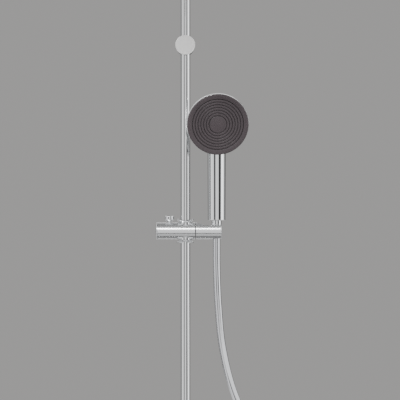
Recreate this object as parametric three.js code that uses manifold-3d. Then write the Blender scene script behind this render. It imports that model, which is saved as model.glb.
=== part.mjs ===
import * as THREE from "three";
import Module from "manifold-3d";

// Millimetres, +Z up, the wall is the plane y = 0 and the front looks along -Y.
// The origin is the middle of the upper bracket's wall face.

// share of each stated side count that is used, and the general clearances
const FACETS = 0.7;
const GAP = 0.3;
const SLIDING_GAP = 0.3;

// riser
const WALL_DISTANCE = 62;
const RISER_R = 9.5;
const RISER_WALL = 1.5;
const RISER_TOP = 150;

// heights of the main groups
const SLIDER_Z = -363;
const MIXER_Z = -1050;

// upper wall bracket
const BARREL_R = 17.2;
const BARREL_FRONT = 16.5;
const WALL_PLATE_R = 15.2;
const WALL_PLATE_THICK = 6;
const WALL_PLATE_BOSS_R = 8.6;
const WALL_PLATE_BOSS = 10;
const WALL_SCREW_X = 11.2;
const WALL_SCREW_R = 2.1;
const WALL_SCREW_HEAD_R = 3.6;
const LINER_WALL = 0.8;
const FRONT_CAP_R = 19.2;
const FRONT_CAP_THICK = 3.5;
const FRONT_CAP_PLUG_R = 6;
const GRUB_R = 2;

// slider
const SLIDER_R = 16.5;
const HOUSING_LEFT = -54;
const HOUSING_RIGHT = 19.4;
const END_CAP_THICK = 3.5;
const BUSH_WALL = 1.1;
const BUSH_HALF = 11.6;
const COLLAR_R = 16.5;
const COLLAR_TOP = SLIDER_R + 7;
const COLLAR_SADDLE_R = SLIDER_R + 7.7;
const BRAKE_BORE_R = 9;
const SHOE_LEFT = -24;
const SHOE_TAIL = 13;
const SHOE_PLATE = 1.5;
const BUTTON_X = -31;
const BUTTON_R = 8.6;
const BUTTON_BOTTOM = SLIDER_R + 2.3;
const BUTTON_TOP = BUTTON_BOTTOM + 10.9;
const BUTTON_STEM_R = 3;
const BUTTON_TRAVEL = 1.8;
const FRICTION_WASHER = 1;
const PIVOT_R = 3;
const PIVOT_HEAD_R = 5;
const PIVOT_HEAD_X = 30;

// holder
const HOLDER_X = 61.3;
const HOLDER_END = 71;
const HOLDER_SLOPE_END = 38.5;
const HOLDER_TOP = 11.2;
const INSERT_WALL = 0.9;
const INSERT_DEPTH = 24.4;
const SLOT_HALF = 7.8;

// cone nut and hose
const NUT_TOP_R = 9.2;
const NUT_BOTTOM_R = 8.4;
const NUT_BOTTOM = -14;
const NUT_COLLAR_R = 9.6;
const NUT_COLLAR = 8.3;
const HOSE_R = 7;
const HOSE_BORE_R = 5;

// hand shower
const HANDLE_BOTTOM = 21.3;
const HANDLE_R = 17;
const HANDLE_TOP_R = 17.6;
const HANDLE_STRAIGHT = 150;
const HANDLE_SHELL = 3.2;
const NIPPLE_R = 6.5;
const NIPPLE_BORE_R = 4;
const HEAD_R = 60;
const HEAD_TILT = 13;
const HEAD_TURN = 4;
const FACE_UP = 207;
const FACE_FORWARD = HEAD_R * 0.6;
const HEAD_DEPTH = 23;
const FACE_THICK = 3;
const RIDGE_COUNT = 6;
const RIDGE_START = 17.3;
const RIDGE_PITCH = 5.4;
const RIDGE_HEIGHT = 0.9;
const FACE_NOZZLES = [[6, 28.1], [8, 44.3]];
const FACE_NOZZLE_R = 1.2;

// overhead arm and rain head
const ARM_HEIGHT = 110;
const ARM_REACH = 368;
const ARM_BEND = 45;
const ARM_DROP = 57;
const SPIGOT_R = 7.6;
const SPIGOT_LENGTH = 22;
const ARM_NUT_R = 13;
const BALL_R = 11;
const BALL_STEM_R = 5;
const RAIN_R = 130;
const RAIN_DEPTH = 14;
const RAIN_NOZZLES = [[6, 45], [10, 95]];
const RAIN_NOZZLE_R = 1.7;

// mixer
const MIXER_R = 22;
const MIXER_HALF = 98;
const INLET_X = 75;
const INLET_R = 13;
const INLET_END = -36;
const UNION_R = 10;
const UNION_NUT_FLATS = 30;
const ESCUTCHEON_R = 31;
const ESCUTCHEON_THICK = 11;
const CARTRIDGE_R = 14.7;
const CARTRIDGE_START = 42;
const STEM_R = 5;
const STEM_END = 112;
const KNOB_R = 23;
const KNOB_LENGTH = 50;
const KNOB_WALL = 3.7;
const STOP_X = 122;
const STOP_R = 4;
const STOP_TOP = 25.5;
const OUTLET_X = 45;
const OUTLET_R = 11;
const OUTLET_BOTTOM = -30;
const OUTLET_NUT_R = 12.5;
const OUTLET_NUT = 17;

// hose route as [sideways, forward, up]: first from the holder's axis, then from the mixer's outlet
const HOSE_UPPER = [
  [0, 0, -60], [1, 1, -103], [3, 5, -142], [10.4, 17, -220], [28, 34, -298], [56, 44, -370],
];
const HOSE_LOWER = [
  [156, 50, 110], [206, 50, -10], [222, 46, -160], [213.6, 40, -225.8], [189.5, 34, -281.6],
  [153.5, 28, -318.9], [111, 22, -332], [68.5, 16, -318.9], [32.5, 10, -281.6], [8.4, 5, -225.8], [0, 0, -160],
];

const wasm = await Module();
wasm.setup();

function toSolid(geometry) {
  const bare = new THREE.BufferGeometry();
  bare.setAttribute("position", geometry.getAttribute("position").clone());
  if (geometry.index) bare.setIndex(geometry.index.clone());
  const soup = bare.index ? bare.toNonIndexed() : bare;
  const place = soup.getAttribute("position");
  const known = new Map();
  const points = [];
  const triangles = [];
  for (let i = 0; i < place.count; i += 3) {
    const corner = [0, 1, 2].map((k) => {
      const at = [place.getX(i + k), place.getY(i + k), place.getZ(i + k)];
      const key = at.map((v) => Math.round(v * 1e4)).join(",");
      if (!known.has(key)) {
        known.set(key, points.length / 3);
        points.push(...at);
      }
      return known.get(key);
    });
    if (new Set(corner).size === 3) triangles.push(...corner);
  }
  let volume = 0;
  const at = (n) => new THREE.Vector3(points[3 * n], points[3 * n + 1], points[3 * n + 2]);
  for (let i = 0; i < triangles.length; i += 3) {
    const a = at(triangles[i]);
    volume += a.dot(at(triangles[i + 1]).cross(at(triangles[i + 2])));
  }
  if (volume < 0) {
    for (let i = 0; i < triangles.length; i += 3) {
      [triangles[i + 1], triangles[i + 2]] = [triangles[i + 2], triangles[i + 1]];
    }
  }
  const vertProperties = new Float32Array(points);
  const triVerts = new Uint32Array(triangles);
  return new wasm.Manifold(new wasm.Mesh({ numProp: 3, vertProperties, triVerts }));
}

function toGeometry(solid) {
  const mesh = solid.getMesh();
  const count = mesh.vertProperties.length / mesh.numProp;
  const place = new Float32Array(count * 3);
  for (let i = 0; i < count; i += 1) {
    for (let k = 0; k < 3; k += 1) place[3 * i + k] = mesh.vertProperties[mesh.numProp * i + k];
  }
  const geometry = new THREE.BufferGeometry();
  geometry.setAttribute("position", new THREE.BufferAttribute(place, 3));
  geometry.setIndex(Array.from(mesh.triVerts));
  geometry.computeVertexNormals();
  return geometry;
}

function join(...solids) {
  return solids.reduce((all, next) => all.add(next));
}

function cut(base, ...tools) {
  return tools.reduce((left, tool) => left.subtract(tool), base);
}

// a solid of revolution about +Z from a closed loop of [radius, height] points
function turned(loop, sides) {
  const ring = [...loop, loop[0]].map(([r, z]) => new THREE.Vector2(r, z));
  return new THREE.LatheGeometry(ring, Math.round(sides * FACETS)).rotateX(Math.PI / 2);
}

// a full cylinder or cone from its low end to its high end, along "x", "y" or "z"
function rod(axis, rLow, rHigh, low, high, sides = 24) {
  const count = sides > 8 ? Math.round(sides * FACETS) : sides;
  const bar = new THREE.CylinderGeometry(rHigh, rLow, high - low, count);
  bar.translate(0, (low + high) / 2, 0);
  if (axis === "x") bar.rotateZ(-Math.PI / 2);
  if (axis === "z") bar.rotateX(Math.PI / 2);
  return bar;
}

function along(axis, geometry) {
  if (axis === "x") geometry.rotateY(Math.PI / 2);
  if (axis === "y") geometry.rotateX(-Math.PI / 2);
  return geometry;
}

function block(x0, x1, y0, y1, z0, z1) {
  const box = new THREE.BoxGeometry(x1 - x0, y1 - y0, z1 - z0);
  return box.translate((x0 + x1) / 2, (y0 + y1) / 2, (z0 + z1) / 2);
}

function circle(r, sides) {
  const shape = new THREE.Shape();
  for (let i = 0; i < sides; i += 1) {
    const a = (2 * Math.PI * i) / sides;
    if (i === 0) shape.moveTo(r, 0);
    else shape.lineTo(r * Math.cos(a), r * Math.sin(a));
  }
  shape.closePath();
  return shape;
}

// a pipe or a plain rod (bore 0) along a curve
function swept(curve, r, bore, sides, steps) {
  const shape = circle(r, sides);
  if (bore > 0) shape.holes.push(circle(bore, Math.max(6, Math.round(sides * 0.6))));
  return new THREE.ExtrudeGeometry(shape, { steps, extrudePath: curve, curveSegments: 1 });
}

function ring(inner, outer, low, high, sides = 24) {
  return turned([[inner, low], [outer, low], [outer, high], [inner, high]], sides);
}

const COLOURS = {
  chrome: [0xd6d8da, 0.95, 0.12],
  satin: [0xb4b6b6, 0.85, 0.4],
  brass: [0xb59a5a, 0.85, 0.35],
  steel: [0xa2a6aa, 0.85, 0.35],
  dark: [0x4a4348, 0.0, 0.45],
  white: [0xdcdcd8, 0.0, 0.5],
  rubber: [0x2a2a2c, 0.0, 0.85],
  red: [0xa03028, 0.0, 0.5],
};

function piece(name, source, colour, group) {
  const geometry = toGeometry(source.isBufferGeometry ? toSolid(source) : source);
  const [color, metalness, roughness] = COLOURS[colour];
  const material = new THREE.MeshStandardMaterial({ color, metalness, roughness });
  material.name = `${name}_finish`;
  const mesh = new THREE.Mesh(geometry, material);
  mesh.name = name;
  group.add(mesh);
  return mesh;
}

function groupAt(name, parent, x, y, z) {
  const group = new THREE.Group();
  group.name = name;
  group.position.set(x, y, z);
  parent.add(group);
  return group;
}

const column = new THREE.Group();
column.name = "rainfall_shower_column";

// ---------------------------------------------------------------- upper wall bracket

function bracketWallPlate(group) {
  const back = WALL_PLATE_THICK;
  const plate = turned([
    [0, 0], [WALL_PLATE_R, 0], [WALL_PLATE_R, back], [WALL_PLATE_BOSS_R, back],
    [WALL_PLATE_BOSS_R, back + WALL_PLATE_BOSS], [0, back + WALL_PLATE_BOSS],
  ], 28);
  const body = toSolid(plate.rotateX(Math.PI / 2));
  const holes = [-WALL_SCREW_X, WALL_SCREW_X].map((x) => {
    const shank = rod("y", WALL_SCREW_R + GAP, WALL_SCREW_R + GAP, -back - 1, 1, 12);
    const head = rod("y", WALL_SCREW_HEAD_R + GAP, WALL_SCREW_R + GAP, -back - 0.01, -back / 2, 12);
    return join(toSolid(shank.translate(x, 0, 0)), toSolid(head.translate(x, 0, 0)));
  });
  piece("bracket_wall_plate", cut(body, ...holes), "steel", group);
}

function bracketScrews(group) {
  const sides = { left: -WALL_SCREW_X, right: WALL_SCREW_X };
  for (const [side, x] of Object.entries(sides)) {
    const profile = [
      [0, 0.2], [WALL_SCREW_R, 0.2], [WALL_SCREW_R, WALL_PLATE_THICK / 2 + GAP],
      [WALL_SCREW_HEAD_R - GAP, WALL_PLATE_THICK], [1.2, WALL_PLATE_THICK], [0, WALL_PLATE_THICK - 1.2],
    ];
    const screw = turned(profile, 12).rotateX(Math.PI / 2);
    piece(`bracket_screw_${side}`, screw.translate(x, 0, 0), "steel", group);
  }
}

function bracketBarrel(group) {
  const front = -WALL_DISTANCE - BARREL_FRONT;
  const bossEnd = -WALL_PLATE_THICK - WALL_PLATE_BOSS;
  const outer = toSolid(rod("y", BARREL_R, BARREL_R, front, -0.5, 28));
  const plateR = WALL_PLATE_R + GAP;
  const plateSeat = toSolid(rod("y", plateR, plateR, -WALL_PLATE_THICK - GAP, 1, 28));
  const bossR = WALL_PLATE_BOSS_R + GAP;
  const bossSeat = toSolid(rod("y", bossR, bossR, bossEnd - GAP, 1, 28));
  const boreR = RISER_R + SLIDING_GAP + LINER_WALL + GAP;
  const through = rod("z", boreR, boreR, -BARREL_R - 1, BARREL_R + 1, 20);
  const bore = toSolid(through.translate(0, -WALL_DISTANCE, 0));
  const plugEnd = front + 3.7;
  const plugR = FRONT_CAP_PLUG_R + GAP;
  const plugSeat = toSolid(rod("y", plugR, plugR, front - 1, plugEnd, 20));
  const grubY = -WALL_PLATE_THICK - WALL_PLATE_BOSS / 2;
  const grub = toSolid(rod("z", GRUB_R + GAP, GRUB_R + GAP, -BARREL_R - 1, -4, 12).translate(0, grubY, 0));
  piece("bracket_barrel", cut(outer, plateSeat, bossSeat, bore, plugSeat, grub), "chrome", group);
}

function bracketSmallParts(group) {
  const inner = RISER_R + SLIDING_GAP;
  const half = Math.sqrt(BARREL_R ** 2 - (inner + LINER_WALL) ** 2) - 0.5;
  const liner = ring(inner, inner + LINER_WALL, -half, half, 28);
  piece("bracket_riser_liner", liner.translate(0, -WALL_DISTANCE, 0), "white", group);
  const front = WALL_DISTANCE + BARREL_FRONT;
  const seat = front + GAP;
  const face = seat + FRONT_CAP_THICK;
  const cap = turned([
    [0, seat - 3.4], [FRONT_CAP_PLUG_R, seat - 3.4], [FRONT_CAP_PLUG_R, seat], [FRONT_CAP_R, seat],
    [FRONT_CAP_R, face - 0.6], [FRONT_CAP_R - 0.6, face], [0, face],
  ], 28);
  piece("bracket_front_cap", cap.rotateX(Math.PI / 2), "satin", group);
  const grubY = -WALL_PLATE_THICK - WALL_PLATE_BOSS / 2;
  const top = -WALL_PLATE_BOSS_R - GAP;
  const low = -BARREL_R + 1;
  const grub = turned([[0, low + 2], [1, low], [GRUB_R, low], [GRUB_R, top], [0, top]], 12);
  piece("bracket_grub_screw", grub.translate(0, grubY, 0), "steel", group);
}

// ---------------------------------------------------------------- riser and its lower joint

const RISER_SEAT = MIXER_Z + 20;
const RISER_BOTTOM = RISER_SEAT + 1.7;
const RISER_SOCKET_TOP = MIXER_Z + 32;

function riser(group) {
  const at = (geometry) => geometry.translate(0, -WALL_DISTANCE, 0);
  piece("riser_tube", at(ring(RISER_R - RISER_WALL, RISER_R, RISER_BOTTOM, RISER_TOP, 32)), "chrome", group);
  const seal = ring(RISER_R - RISER_WALL, RISER_R, RISER_SEAT + GAP, RISER_BOTTOM - GAP, 20);
  piece("riser_seal", at(seal), "rubber", group);
  const inner = RISER_R + SLIDING_GAP;
  const low = RISER_SOCKET_TOP + GAP;
  const nut = turned([[inner, low], [14.4, low], [14.4, low + 11], [13, low + 14], [inner, low + 14]], 24);
  piece("riser_lower_nut", at(nut), "chrome", group);
}

// ---------------------------------------------------------------- overhead arm and rain head

const ARM_FOOT = RISER_TOP + 2.6;
const HEAD_Y = -WALL_DISTANCE - ARM_REACH;
const ARM_TOP_Z = RISER_TOP + ARM_HEIGHT;
const ARM_END_Z = ARM_TOP_Z - ARM_DROP;
const BALL_Z = ARM_END_Z - 13;

function bend(path, cy, cz, start, end) {
  const arc = new THREE.Curve();
  arc.getPoint = (t, target = new THREE.Vector3()) => {
    const a = THREE.MathUtils.degToRad(start + (end - start) * t);
    return target.set(0, cy + ARM_BEND * Math.cos(a), cz + ARM_BEND * Math.sin(a));
  };
  path.add(arc);
}

function armCurve() {
  const path = new THREE.CurvePath();
  const v = (y, z) => new THREE.Vector3(0, y, z);
  const back = -WALL_DISTANCE - ARM_BEND;
  const front = HEAD_Y + ARM_BEND;
  path.add(new THREE.LineCurve3(v(-WALL_DISTANCE, ARM_FOOT), v(-WALL_DISTANCE, ARM_TOP_Z - ARM_BEND)));
  bend(path, back, ARM_TOP_Z - ARM_BEND, 0, 90);
  path.add(new THREE.LineCurve3(v(back, ARM_TOP_Z), v(front, ARM_TOP_Z)));
  bend(path, front, ARM_TOP_Z - ARM_BEND, 90, 180);
  path.add(new THREE.LineCurve3(v(HEAD_Y, ARM_TOP_Z - ARM_BEND), v(HEAD_Y, ARM_END_Z)));
  return path;
}

function rainArm(column_, arm) {
  const pipe = toSolid(swept(armCurve(), RISER_R, RISER_R - RISER_WALL, 12, 20));
  const low = RISER_TOP - SPIGOT_LENGTH;
  const tail = ring(SPIGOT_R - 1.8, SPIGOT_R, low, ARM_FOOT + 3, 12);
  const spigot = toSolid(tail.translate(0, -WALL_DISTANCE, 0));
  const web = ring(SPIGOT_R - 1, RISER_R - 0.5, ARM_FOOT + 0.5, ARM_FOOT + 3, 12);
  const joint = toSolid(web.translate(0, -WALL_DISTANCE, 0));
  piece("rain_arm_tube", join(pipe, spigot, joint), "chrome", arm);
  const inner = RISER_R + SLIDING_GAP;
  const nut = turned([
    [inner, RISER_TOP - 14], [ARM_NUT_R, RISER_TOP - 14], [ARM_NUT_R, RISER_TOP + 16],
    [ARM_NUT_R - 1.6, RISER_TOP + 18], [inner, RISER_TOP + 18],
  ], 28);
  piece("rain_arm_nut", nut.translate(0, -WALL_DISTANCE, 0), "chrome", column_);
  const seal = ring(SPIGOT_R + GAP, RISER_R - 0.2, RISER_TOP + GAP, ARM_FOOT - GAP, 20);
  piece("rain_arm_seal", seal.translate(0, -WALL_DISTANCE, 0), "rubber", column_);
}

function ballJoint(arm, ringBody, head) {
  const profile = [[0, -BALL_R]];
  const steps = 6;
  const neckAngle = Math.acos(BALL_STEM_R / BALL_R);
  for (let i = 1; i <= steps; i += 1) {
    const a = -Math.PI / 2 + (i / steps) * (Math.PI / 2 + neckAngle);
    profile.push([BALL_R * Math.cos(a), BALL_R * Math.sin(a)]);
  }
  const top = ARM_END_Z - BALL_Z;
  const plug = RISER_R - RISER_WALL - 1.4;
  profile.push([BALL_STEM_R, top - 1], [RISER_R - 0.4, top - 1], [RISER_R - 0.4, top - GAP]);
  profile.push([plug, top - GAP], [plug, top + 7], [0, top + 7]);
  piece("ball_joint_ball", turned(profile, 16), "chrome", arm);
  const seat = turned([[8.7, -7.5], [11.6, -7.5], [12.2, -3.2], [11.3, -3.2]], 20);
  piece("ball_joint_ring", seat, "white", ringBody);
  const nut = turned([
    [16.3, -11], [18, -11], [18, 6], [16, 9], [8.3, 9], [8.9, 7], [10.8, 4], [11.6, 0],
    [11.6, -0.4], [16.3, -0.4],
  ], 24);
  piece("ball_joint_nut", nut, "chrome", head);
}

const RAIN_TOP_IN_HEAD = -24;
const RAIN_BOTTOM_IN_HEAD = RAIN_TOP_IN_HEAD - RAIN_DEPTH;

function rainHead(head) {
  const top = RAIN_TOP_IN_HEAD;
  const bottom = RAIN_BOTTOM_IN_HEAD;
  const shell = turned([
    [6.5, -10.4], [13.4, -10.4], [13.4, -2], [16, -2], [16, -19], [40, top + 1], [RAIN_R - 4, top],
    [RAIN_R, top - 3], [RAIN_R, bottom], [RAIN_R - 2, bottom], [RAIN_R - 2, top - 4],
    [RAIN_R - 5, top - 2], [40, top - 1.5], [6.5, -21],
  ], 36);
  piece("rain_head_shell", shell, "chrome", head);
  const plateTop = bottom + 2.8;
  let plate = toSolid(rod("z", RAIN_R - 2 - GAP, RAIN_R - 2 - GAP, bottom + 0.4, plateTop, 36));
  let mat = toSolid(rod("z", RAIN_R - 8, RAIN_R - 8, plateTop + GAP, plateTop + 1.8, 28));
  for (const [count, radius] of RAIN_NOZZLES) {
    for (let i = 0; i < count; i += 1) {
      const a = (2 * Math.PI * (i + 0.5)) / count;
      const x = radius * Math.cos(a);
      const y = radius * Math.sin(a);
      const hole = rod("z", RAIN_NOZZLE_R + GAP, RAIN_NOZZLE_R + GAP, bottom - 1, plateTop + 1, 6);
      plate = plate.subtract(toSolid(hole.translate(x, y, 0)));
      const peg = rod("z", RAIN_NOZZLE_R * 0.7, RAIN_NOZZLE_R, bottom - 0.6, plateTop + 1, 6);
      mat = mat.add(toSolid(peg.translate(x, y, 0)));
    }
  }
  piece("rain_head_spray_plate", plate, "satin", head);
  piece("rain_head_nozzle_mat", mat, "rubber", head);
}

// ---------------------------------------------------------------- mixer

function mixerBody(group) {
  const bar = toSolid(rod("x", MIXER_R, MIXER_R, -MIXER_HALF, MIXER_HALF, 28));
  const riserBoss = toSolid(rod("z", 14.4, 14.4, 10, RISER_SOCKET_TOP - MIXER_Z, 24));
  const outlet = toSolid(rod("z", OUTLET_R, OUTLET_R, OUTLET_BOTTOM, -10, 20).translate(OUTLET_X, 0, 0));
  let body = join(bar, riserBoss, outlet);
  for (const x of [-INLET_X, INLET_X]) {
    const boss = rod("y", INLET_R, INLET_R, 10, WALL_DISTANCE + INLET_END, 20);
    body = body.add(toSolid(boss.translate(x, 0, 0)));
  }
  const chamber = CARTRIDGE_R + GAP;
  const tools = [
    rod("x", chamber, chamber, CARTRIDGE_START - GAP, MIXER_HALF + 1, 24),
    rod("x", chamber, chamber, -MIXER_HALF - 1, -CARTRIDGE_START + GAP, 24),
    rod("x", 6, 6, -CARTRIDGE_START - 1, CARTRIDGE_START + 1, 12),
    rod("z", RISER_R - RISER_WALL, RISER_R - RISER_WALL, 0, 21, 16),
    rod("z", RISER_R + GAP, RISER_R + GAP, RISER_SEAT - MIXER_Z, 40, 24),
    rod("z", 4.5, 4.5, OUTLET_BOTTOM - 1, 0, 12).translate(OUTLET_X, 0, 0),
  ];
  for (const x of [-INLET_X, INLET_X]) {
    tools.push(rod("y", 7.5, 7.5, 5, WALL_DISTANCE, 16).translate(x, 0, 0));
  }
  piece("mixer_body", cut(body, ...tools.map(toSolid)), "chrome", group);
}

function wallUnion(side, x, group) {
  const flangeEnd = INLET_END + 1.8;
  const flange = 3.2;
  const at = (geometry) => along("y", geometry).translate(x, WALL_DISTANCE, 0);
  const tube = turned([
    [7, flangeEnd], [12.8, flangeEnd], [12.8, flangeEnd + flange], [UNION_R, flangeEnd + flange],
    [UNION_R, -0.2], [7, -0.2],
  ], 20);
  piece(`${side}_inlet_union`, at(tube), "brass", group);
  const washer = ring(7.5, 12.6, INLET_END + GAP, flangeEnd - GAP, 20);
  piece(`${side}_filter_washer`, at(washer), "rubber", group);
  const nutBack = flangeEnd + flange + 4;
  const corner = UNION_NUT_FLATS / Math.sqrt(3);
  const hex = toSolid(rod("z", corner, corner, INLET_END - 3.3, nutBack, 6));
  const wide = toSolid(rod("z", INLET_R + GAP, INLET_R + GAP, INLET_END - 6, flangeEnd + flange + GAP, 20));
  const narrow = toSolid(rod("z", UNION_R + GAP, UNION_R + GAP, INLET_END, nutBack + 1, 20));
  piece(`${side}_union_nut`, at(toGeometry(cut(hex, wide, narrow))), "chrome", group);
  const inner = UNION_R + GAP;
  const plate = turned([
    [inner, 0], [ESCUTCHEON_R, 0], [ESCUTCHEON_R, -3], [ESCUTCHEON_R - 5, -8],
    [inner + 4, -ESCUTCHEON_THICK], [inner, -ESCUTCHEON_THICK],
  ], 24);
  piece(`${side}_escutcheon`, at(plate), "chrome", group);
}

function cartridge(name, side, group) {
  const profile = turned([
    [0, CARTRIDGE_START], [CARTRIDGE_R, CARTRIDGE_START], [CARTRIDGE_R, 62], [12, 63], [12, 86],
    [CARTRIDGE_R, 87], [CARTRIDGE_R, MIXER_HALF - 0.5], [STEM_R, MIXER_HALF - 0.5],
    [STEM_R, STEM_END], [0, STEM_END],
  ], 18);
  const lying = along("x", profile);
  piece(name, side > 0 ? lying : lying.rotateZ(Math.PI), "brass", group);
}

function knobProfile() {
  const start = MIXER_HALF + 1.3;
  const end = start + KNOB_LENGTH;
  const wall = KNOB_R - KNOB_WALL;
  return [
    [STEM_R + GAP, start], [KNOB_R - 1, start], [KNOB_R, start + 1], [KNOB_R, end - 1], [KNOB_R - 1, end],
    [wall, end], [wall, start + 5], [8.5, start + 5], [8.5, STEM_END + 4], [0, STEM_END + 4],
    [0, STEM_END + GAP], [STEM_R + GAP, STEM_END + GAP],
  ];
}

function knobCap(name, side, group) {
  const end = MIXER_HALF + 1.3 + KNOB_LENGTH;
  const r = KNOB_R - KNOB_WALL - GAP;
  const cap = turned([[0, end - 4], [r, end - 4], [r, end], [r - 1.5, end + 1], [0, end + 1]], 24);
  const lying = along("x", cap);
  piece(name, side > 0 ? lying : lying.rotateZ(Math.PI), "satin", group);
}

function mixerHandles(temperature, stop, flow) {
  const knob = toSolid(along("x", turned(knobProfile(), 24)));
  const hole = rod("z", STOP_R + GAP, STOP_R + GAP, 12, KNOB_R + 3, 14).translate(STOP_X, 0, 0);
  piece("temperature_handle", cut(knob, toSolid(hole)), "chrome", temperature);
  knobCap("temperature_handle_cap", 1, temperature);
  const inside = Math.sqrt((KNOB_R - KNOB_WALL) ** 2 - 5.5 ** 2) - GAP;
  const button = turned([
    [0, inside - 2], [5.2, inside - 2], [5.2, inside - 0.2], [STOP_R, inside - 0.2],
    [STOP_R, STOP_TOP - 1], [STOP_R - 1, STOP_TOP], [0, STOP_TOP],
  ], 14);
  piece("temperature_stop_button", button.translate(STOP_X, 0, 0), "red", stop);
  const spring = coil(3.2, 0.5, 9.2, inside - 2 - GAP, 4);
  piece("stop_button_spring", spring.translate(STOP_X, 0, 0), "steel", temperature);
  piece("flow_handle", along("x", turned(knobProfile(), 24)).rotateZ(Math.PI), "chrome", flow);
  knobCap("flow_handle_cap", -1, flow);
}

function coil(radius, wire, low, high, turns) {
  const curve = new THREE.Curve();
  curve.getPoint = (t, target = new THREE.Vector3()) => {
    const a = 2 * Math.PI * turns * t;
    const z = low + wire + (high - low - 2 * wire) * t;
    return target.set(radius * Math.cos(a), radius * Math.sin(a), z);
  };
  return swept(curve, wire, 0, 4, turns * 8);
}

// ---------------------------------------------------------------- slider

function guideBush(group) {
  const inner = RISER_R + SLIDING_GAP;
  const sleeve = toSolid(ring(inner, inner + BUSH_WALL, -BUSH_HALF, BUSH_HALF, 28));
  const split = toSolid(block(5, 15, -0.6, 0.6, -BUSH_HALF - 1, BUSH_HALF + 1));
  piece("guide_bush", cut(sleeve, split), "white", group);
}

const SLIDER_BORE_R = RISER_R + SLIDING_GAP + BUSH_WALL + GAP;

function sliderHousing(group) {
  const outer = toSolid(rod("x", SLIDER_R, SLIDER_R, HOUSING_LEFT, HOUSING_RIGHT, 28));
  const tools = [
    rod("z", SLIDER_BORE_R, SLIDER_BORE_R, -SLIDER_R - 1, SLIDER_R + 1, 28),
    rod("x", BRAKE_BORE_R, BRAKE_BORE_R, HOUSING_LEFT - 1, -5, 24),
    rod("x", PIVOT_R + GAP, PIVOT_R + GAP, 5, HOUSING_RIGHT + 1, 14),
    rod("z", BUTTON_STEM_R + GAP, BUTTON_STEM_R + GAP, 3, SLIDER_R + 1, 14).translate(BUTTON_X, 0, 0),
  ];
  piece("slider_housing", cut(outer, ...tools.map(toSolid)), "chrome", group);
}

function collars(group) {
  const inner = RISER_R + SLIDING_GAP;
  const neck = inner + BUSH_WALL;
  const low = BUSH_HALF + GAP;
  const profile = [
    [inner, low], [neck, low], [neck, SLIDER_R + GAP], [12.6, SLIDER_R + 1.8], [14.7, SLIDER_R + 3.5],
    [COLLAR_R - 0.1, SLIDER_R + 5.3], [COLLAR_R, COLLAR_TOP], [COLLAR_R - 1.1, COLLAR_TOP],
    [13.4, SLIDER_R + 4.5], [11.2, SLIDER_R + 2.7], [inner, SLIDER_R + 1.5],
  ];
  const saddle = toSolid(rod("x", COLLAR_SADDLE_R, COLLAR_SADDLE_R, -30, 30, 28));
  const upper = toSolid(turned(profile, 24)).intersect(saddle);
  piece("collar_upper", upper, "chrome", group);
  piece("collar_lower", toGeometry(upper).rotateX(Math.PI), "chrome", group);
}

function sliderInside(slider, brake, button) {
  const lip = HOUSING_LEFT - GAP;
  const plugR = BRAKE_BORE_R - GAP;
  const cap = turned([
    [0, -lip - 6], [plugR, -lip - 6], [plugR, -lip], [SLIDER_R, -lip], [SLIDER_R, -lip + 1.4],
    [SLIDER_R - 1.2, -lip + END_CAP_THICK - 0.8], [SLIDER_R - 6, -lip + END_CAP_THICK],
    [0, -lip + END_CAP_THICK],
  ], 24);
  piece("slider_end_cap", along("x", cap).rotateZ(Math.PI), "chrome", slider);
  const shoeBar = toSolid(rod("x", BRAKE_BORE_R - GAP, BRAKE_BORE_R - GAP, SHOE_LEFT, -6, 20));
  const tailEnd = SHOE_LEFT - SHOE_TAIL;
  const tail = toSolid(block(tailEnd + 0.5, SHOE_LEFT + 1, -3, 3, -4.5, 1.2));
  const pad = toSolid(rod("x", BRAKE_BORE_R - 2, BRAKE_BORE_R - 2, tailEnd, tailEnd + SHOE_PLATE, 16));
  const sweep = toSolid(rod("z", SLIDER_BORE_R, SLIDER_BORE_R, -20, 20, 28));
  piece("brake_shoe", cut(join(shoeBar, tail, pad), sweep), "dark", brake);
  const springStart = lip + 6 + GAP;
  const spring = coil(5.6, 0.7, 0, tailEnd - GAP - springStart, 3);
  piece("brake_spring", along("x", spring).translate(springStart, 0, 0), "steel", slider);
  const stemEnd = 1.2 + BUTTON_TRAVEL + GAP;
  const knob = turned([
    [0, stemEnd], [1.5, stemEnd], [BUTTON_STEM_R, stemEnd + 2], [BUTTON_STEM_R, BUTTON_BOTTOM],
    [5.6, BUTTON_BOTTOM], [BUTTON_R + 0.4, BUTTON_BOTTOM + 3.4], [BUTTON_R, BUTTON_TOP - 0.8],
    [BUTTON_R - 0.8, BUTTON_TOP], [0, BUTTON_TOP],
  ], 20);
  piece("release_button", knob.translate(BUTTON_X, 0, 0), "chrome", button);
}

const HOLDER_START = HOUSING_RIGHT + FRICTION_WASHER + 2 * GAP;

function pivot(slider) {
  const washer = ring(PIVOT_R + GAP, SLIDER_R - 1.2, HOUSING_RIGHT + GAP, HOLDER_START - GAP, 28);
  piece("friction_washer", along("x", washer), "rubber", slider);
  const bolt = turned([
    [0, SLIDER_BORE_R + 1], [PIVOT_R, SLIDER_BORE_R + 1], [PIVOT_R, PIVOT_HEAD_X],
    [PIVOT_HEAD_R, PIVOT_HEAD_X], [PIVOT_HEAD_R, PIVOT_HEAD_X + 4], [2, PIVOT_HEAD_X + 4],
    [0, PIVOT_HEAD_X + 2],
  ], 16);
  piece("pivot_bolt", along("x", bolt), "steel", slider);
}

// ---------------------------------------------------------------- holder

const INSERT_TOP_R = NUT_TOP_R + GAP;
const INSERT_BOTTOM_R = NUT_BOTTOM_R + GAP;
const INSERT_TOP = HOLDER_TOP - 0.4;

function coneAt(topR, bottomR, low, high) {
  const span = INSERT_DEPTH;
  const slope = (topR - bottomR) / span;
  const rAt = (z) => topR + slope * (z - INSERT_TOP);
  return rod("z", rAt(low), rAt(high), low, high, 28).translate(HOLDER_X, 0, 0);
}

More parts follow.
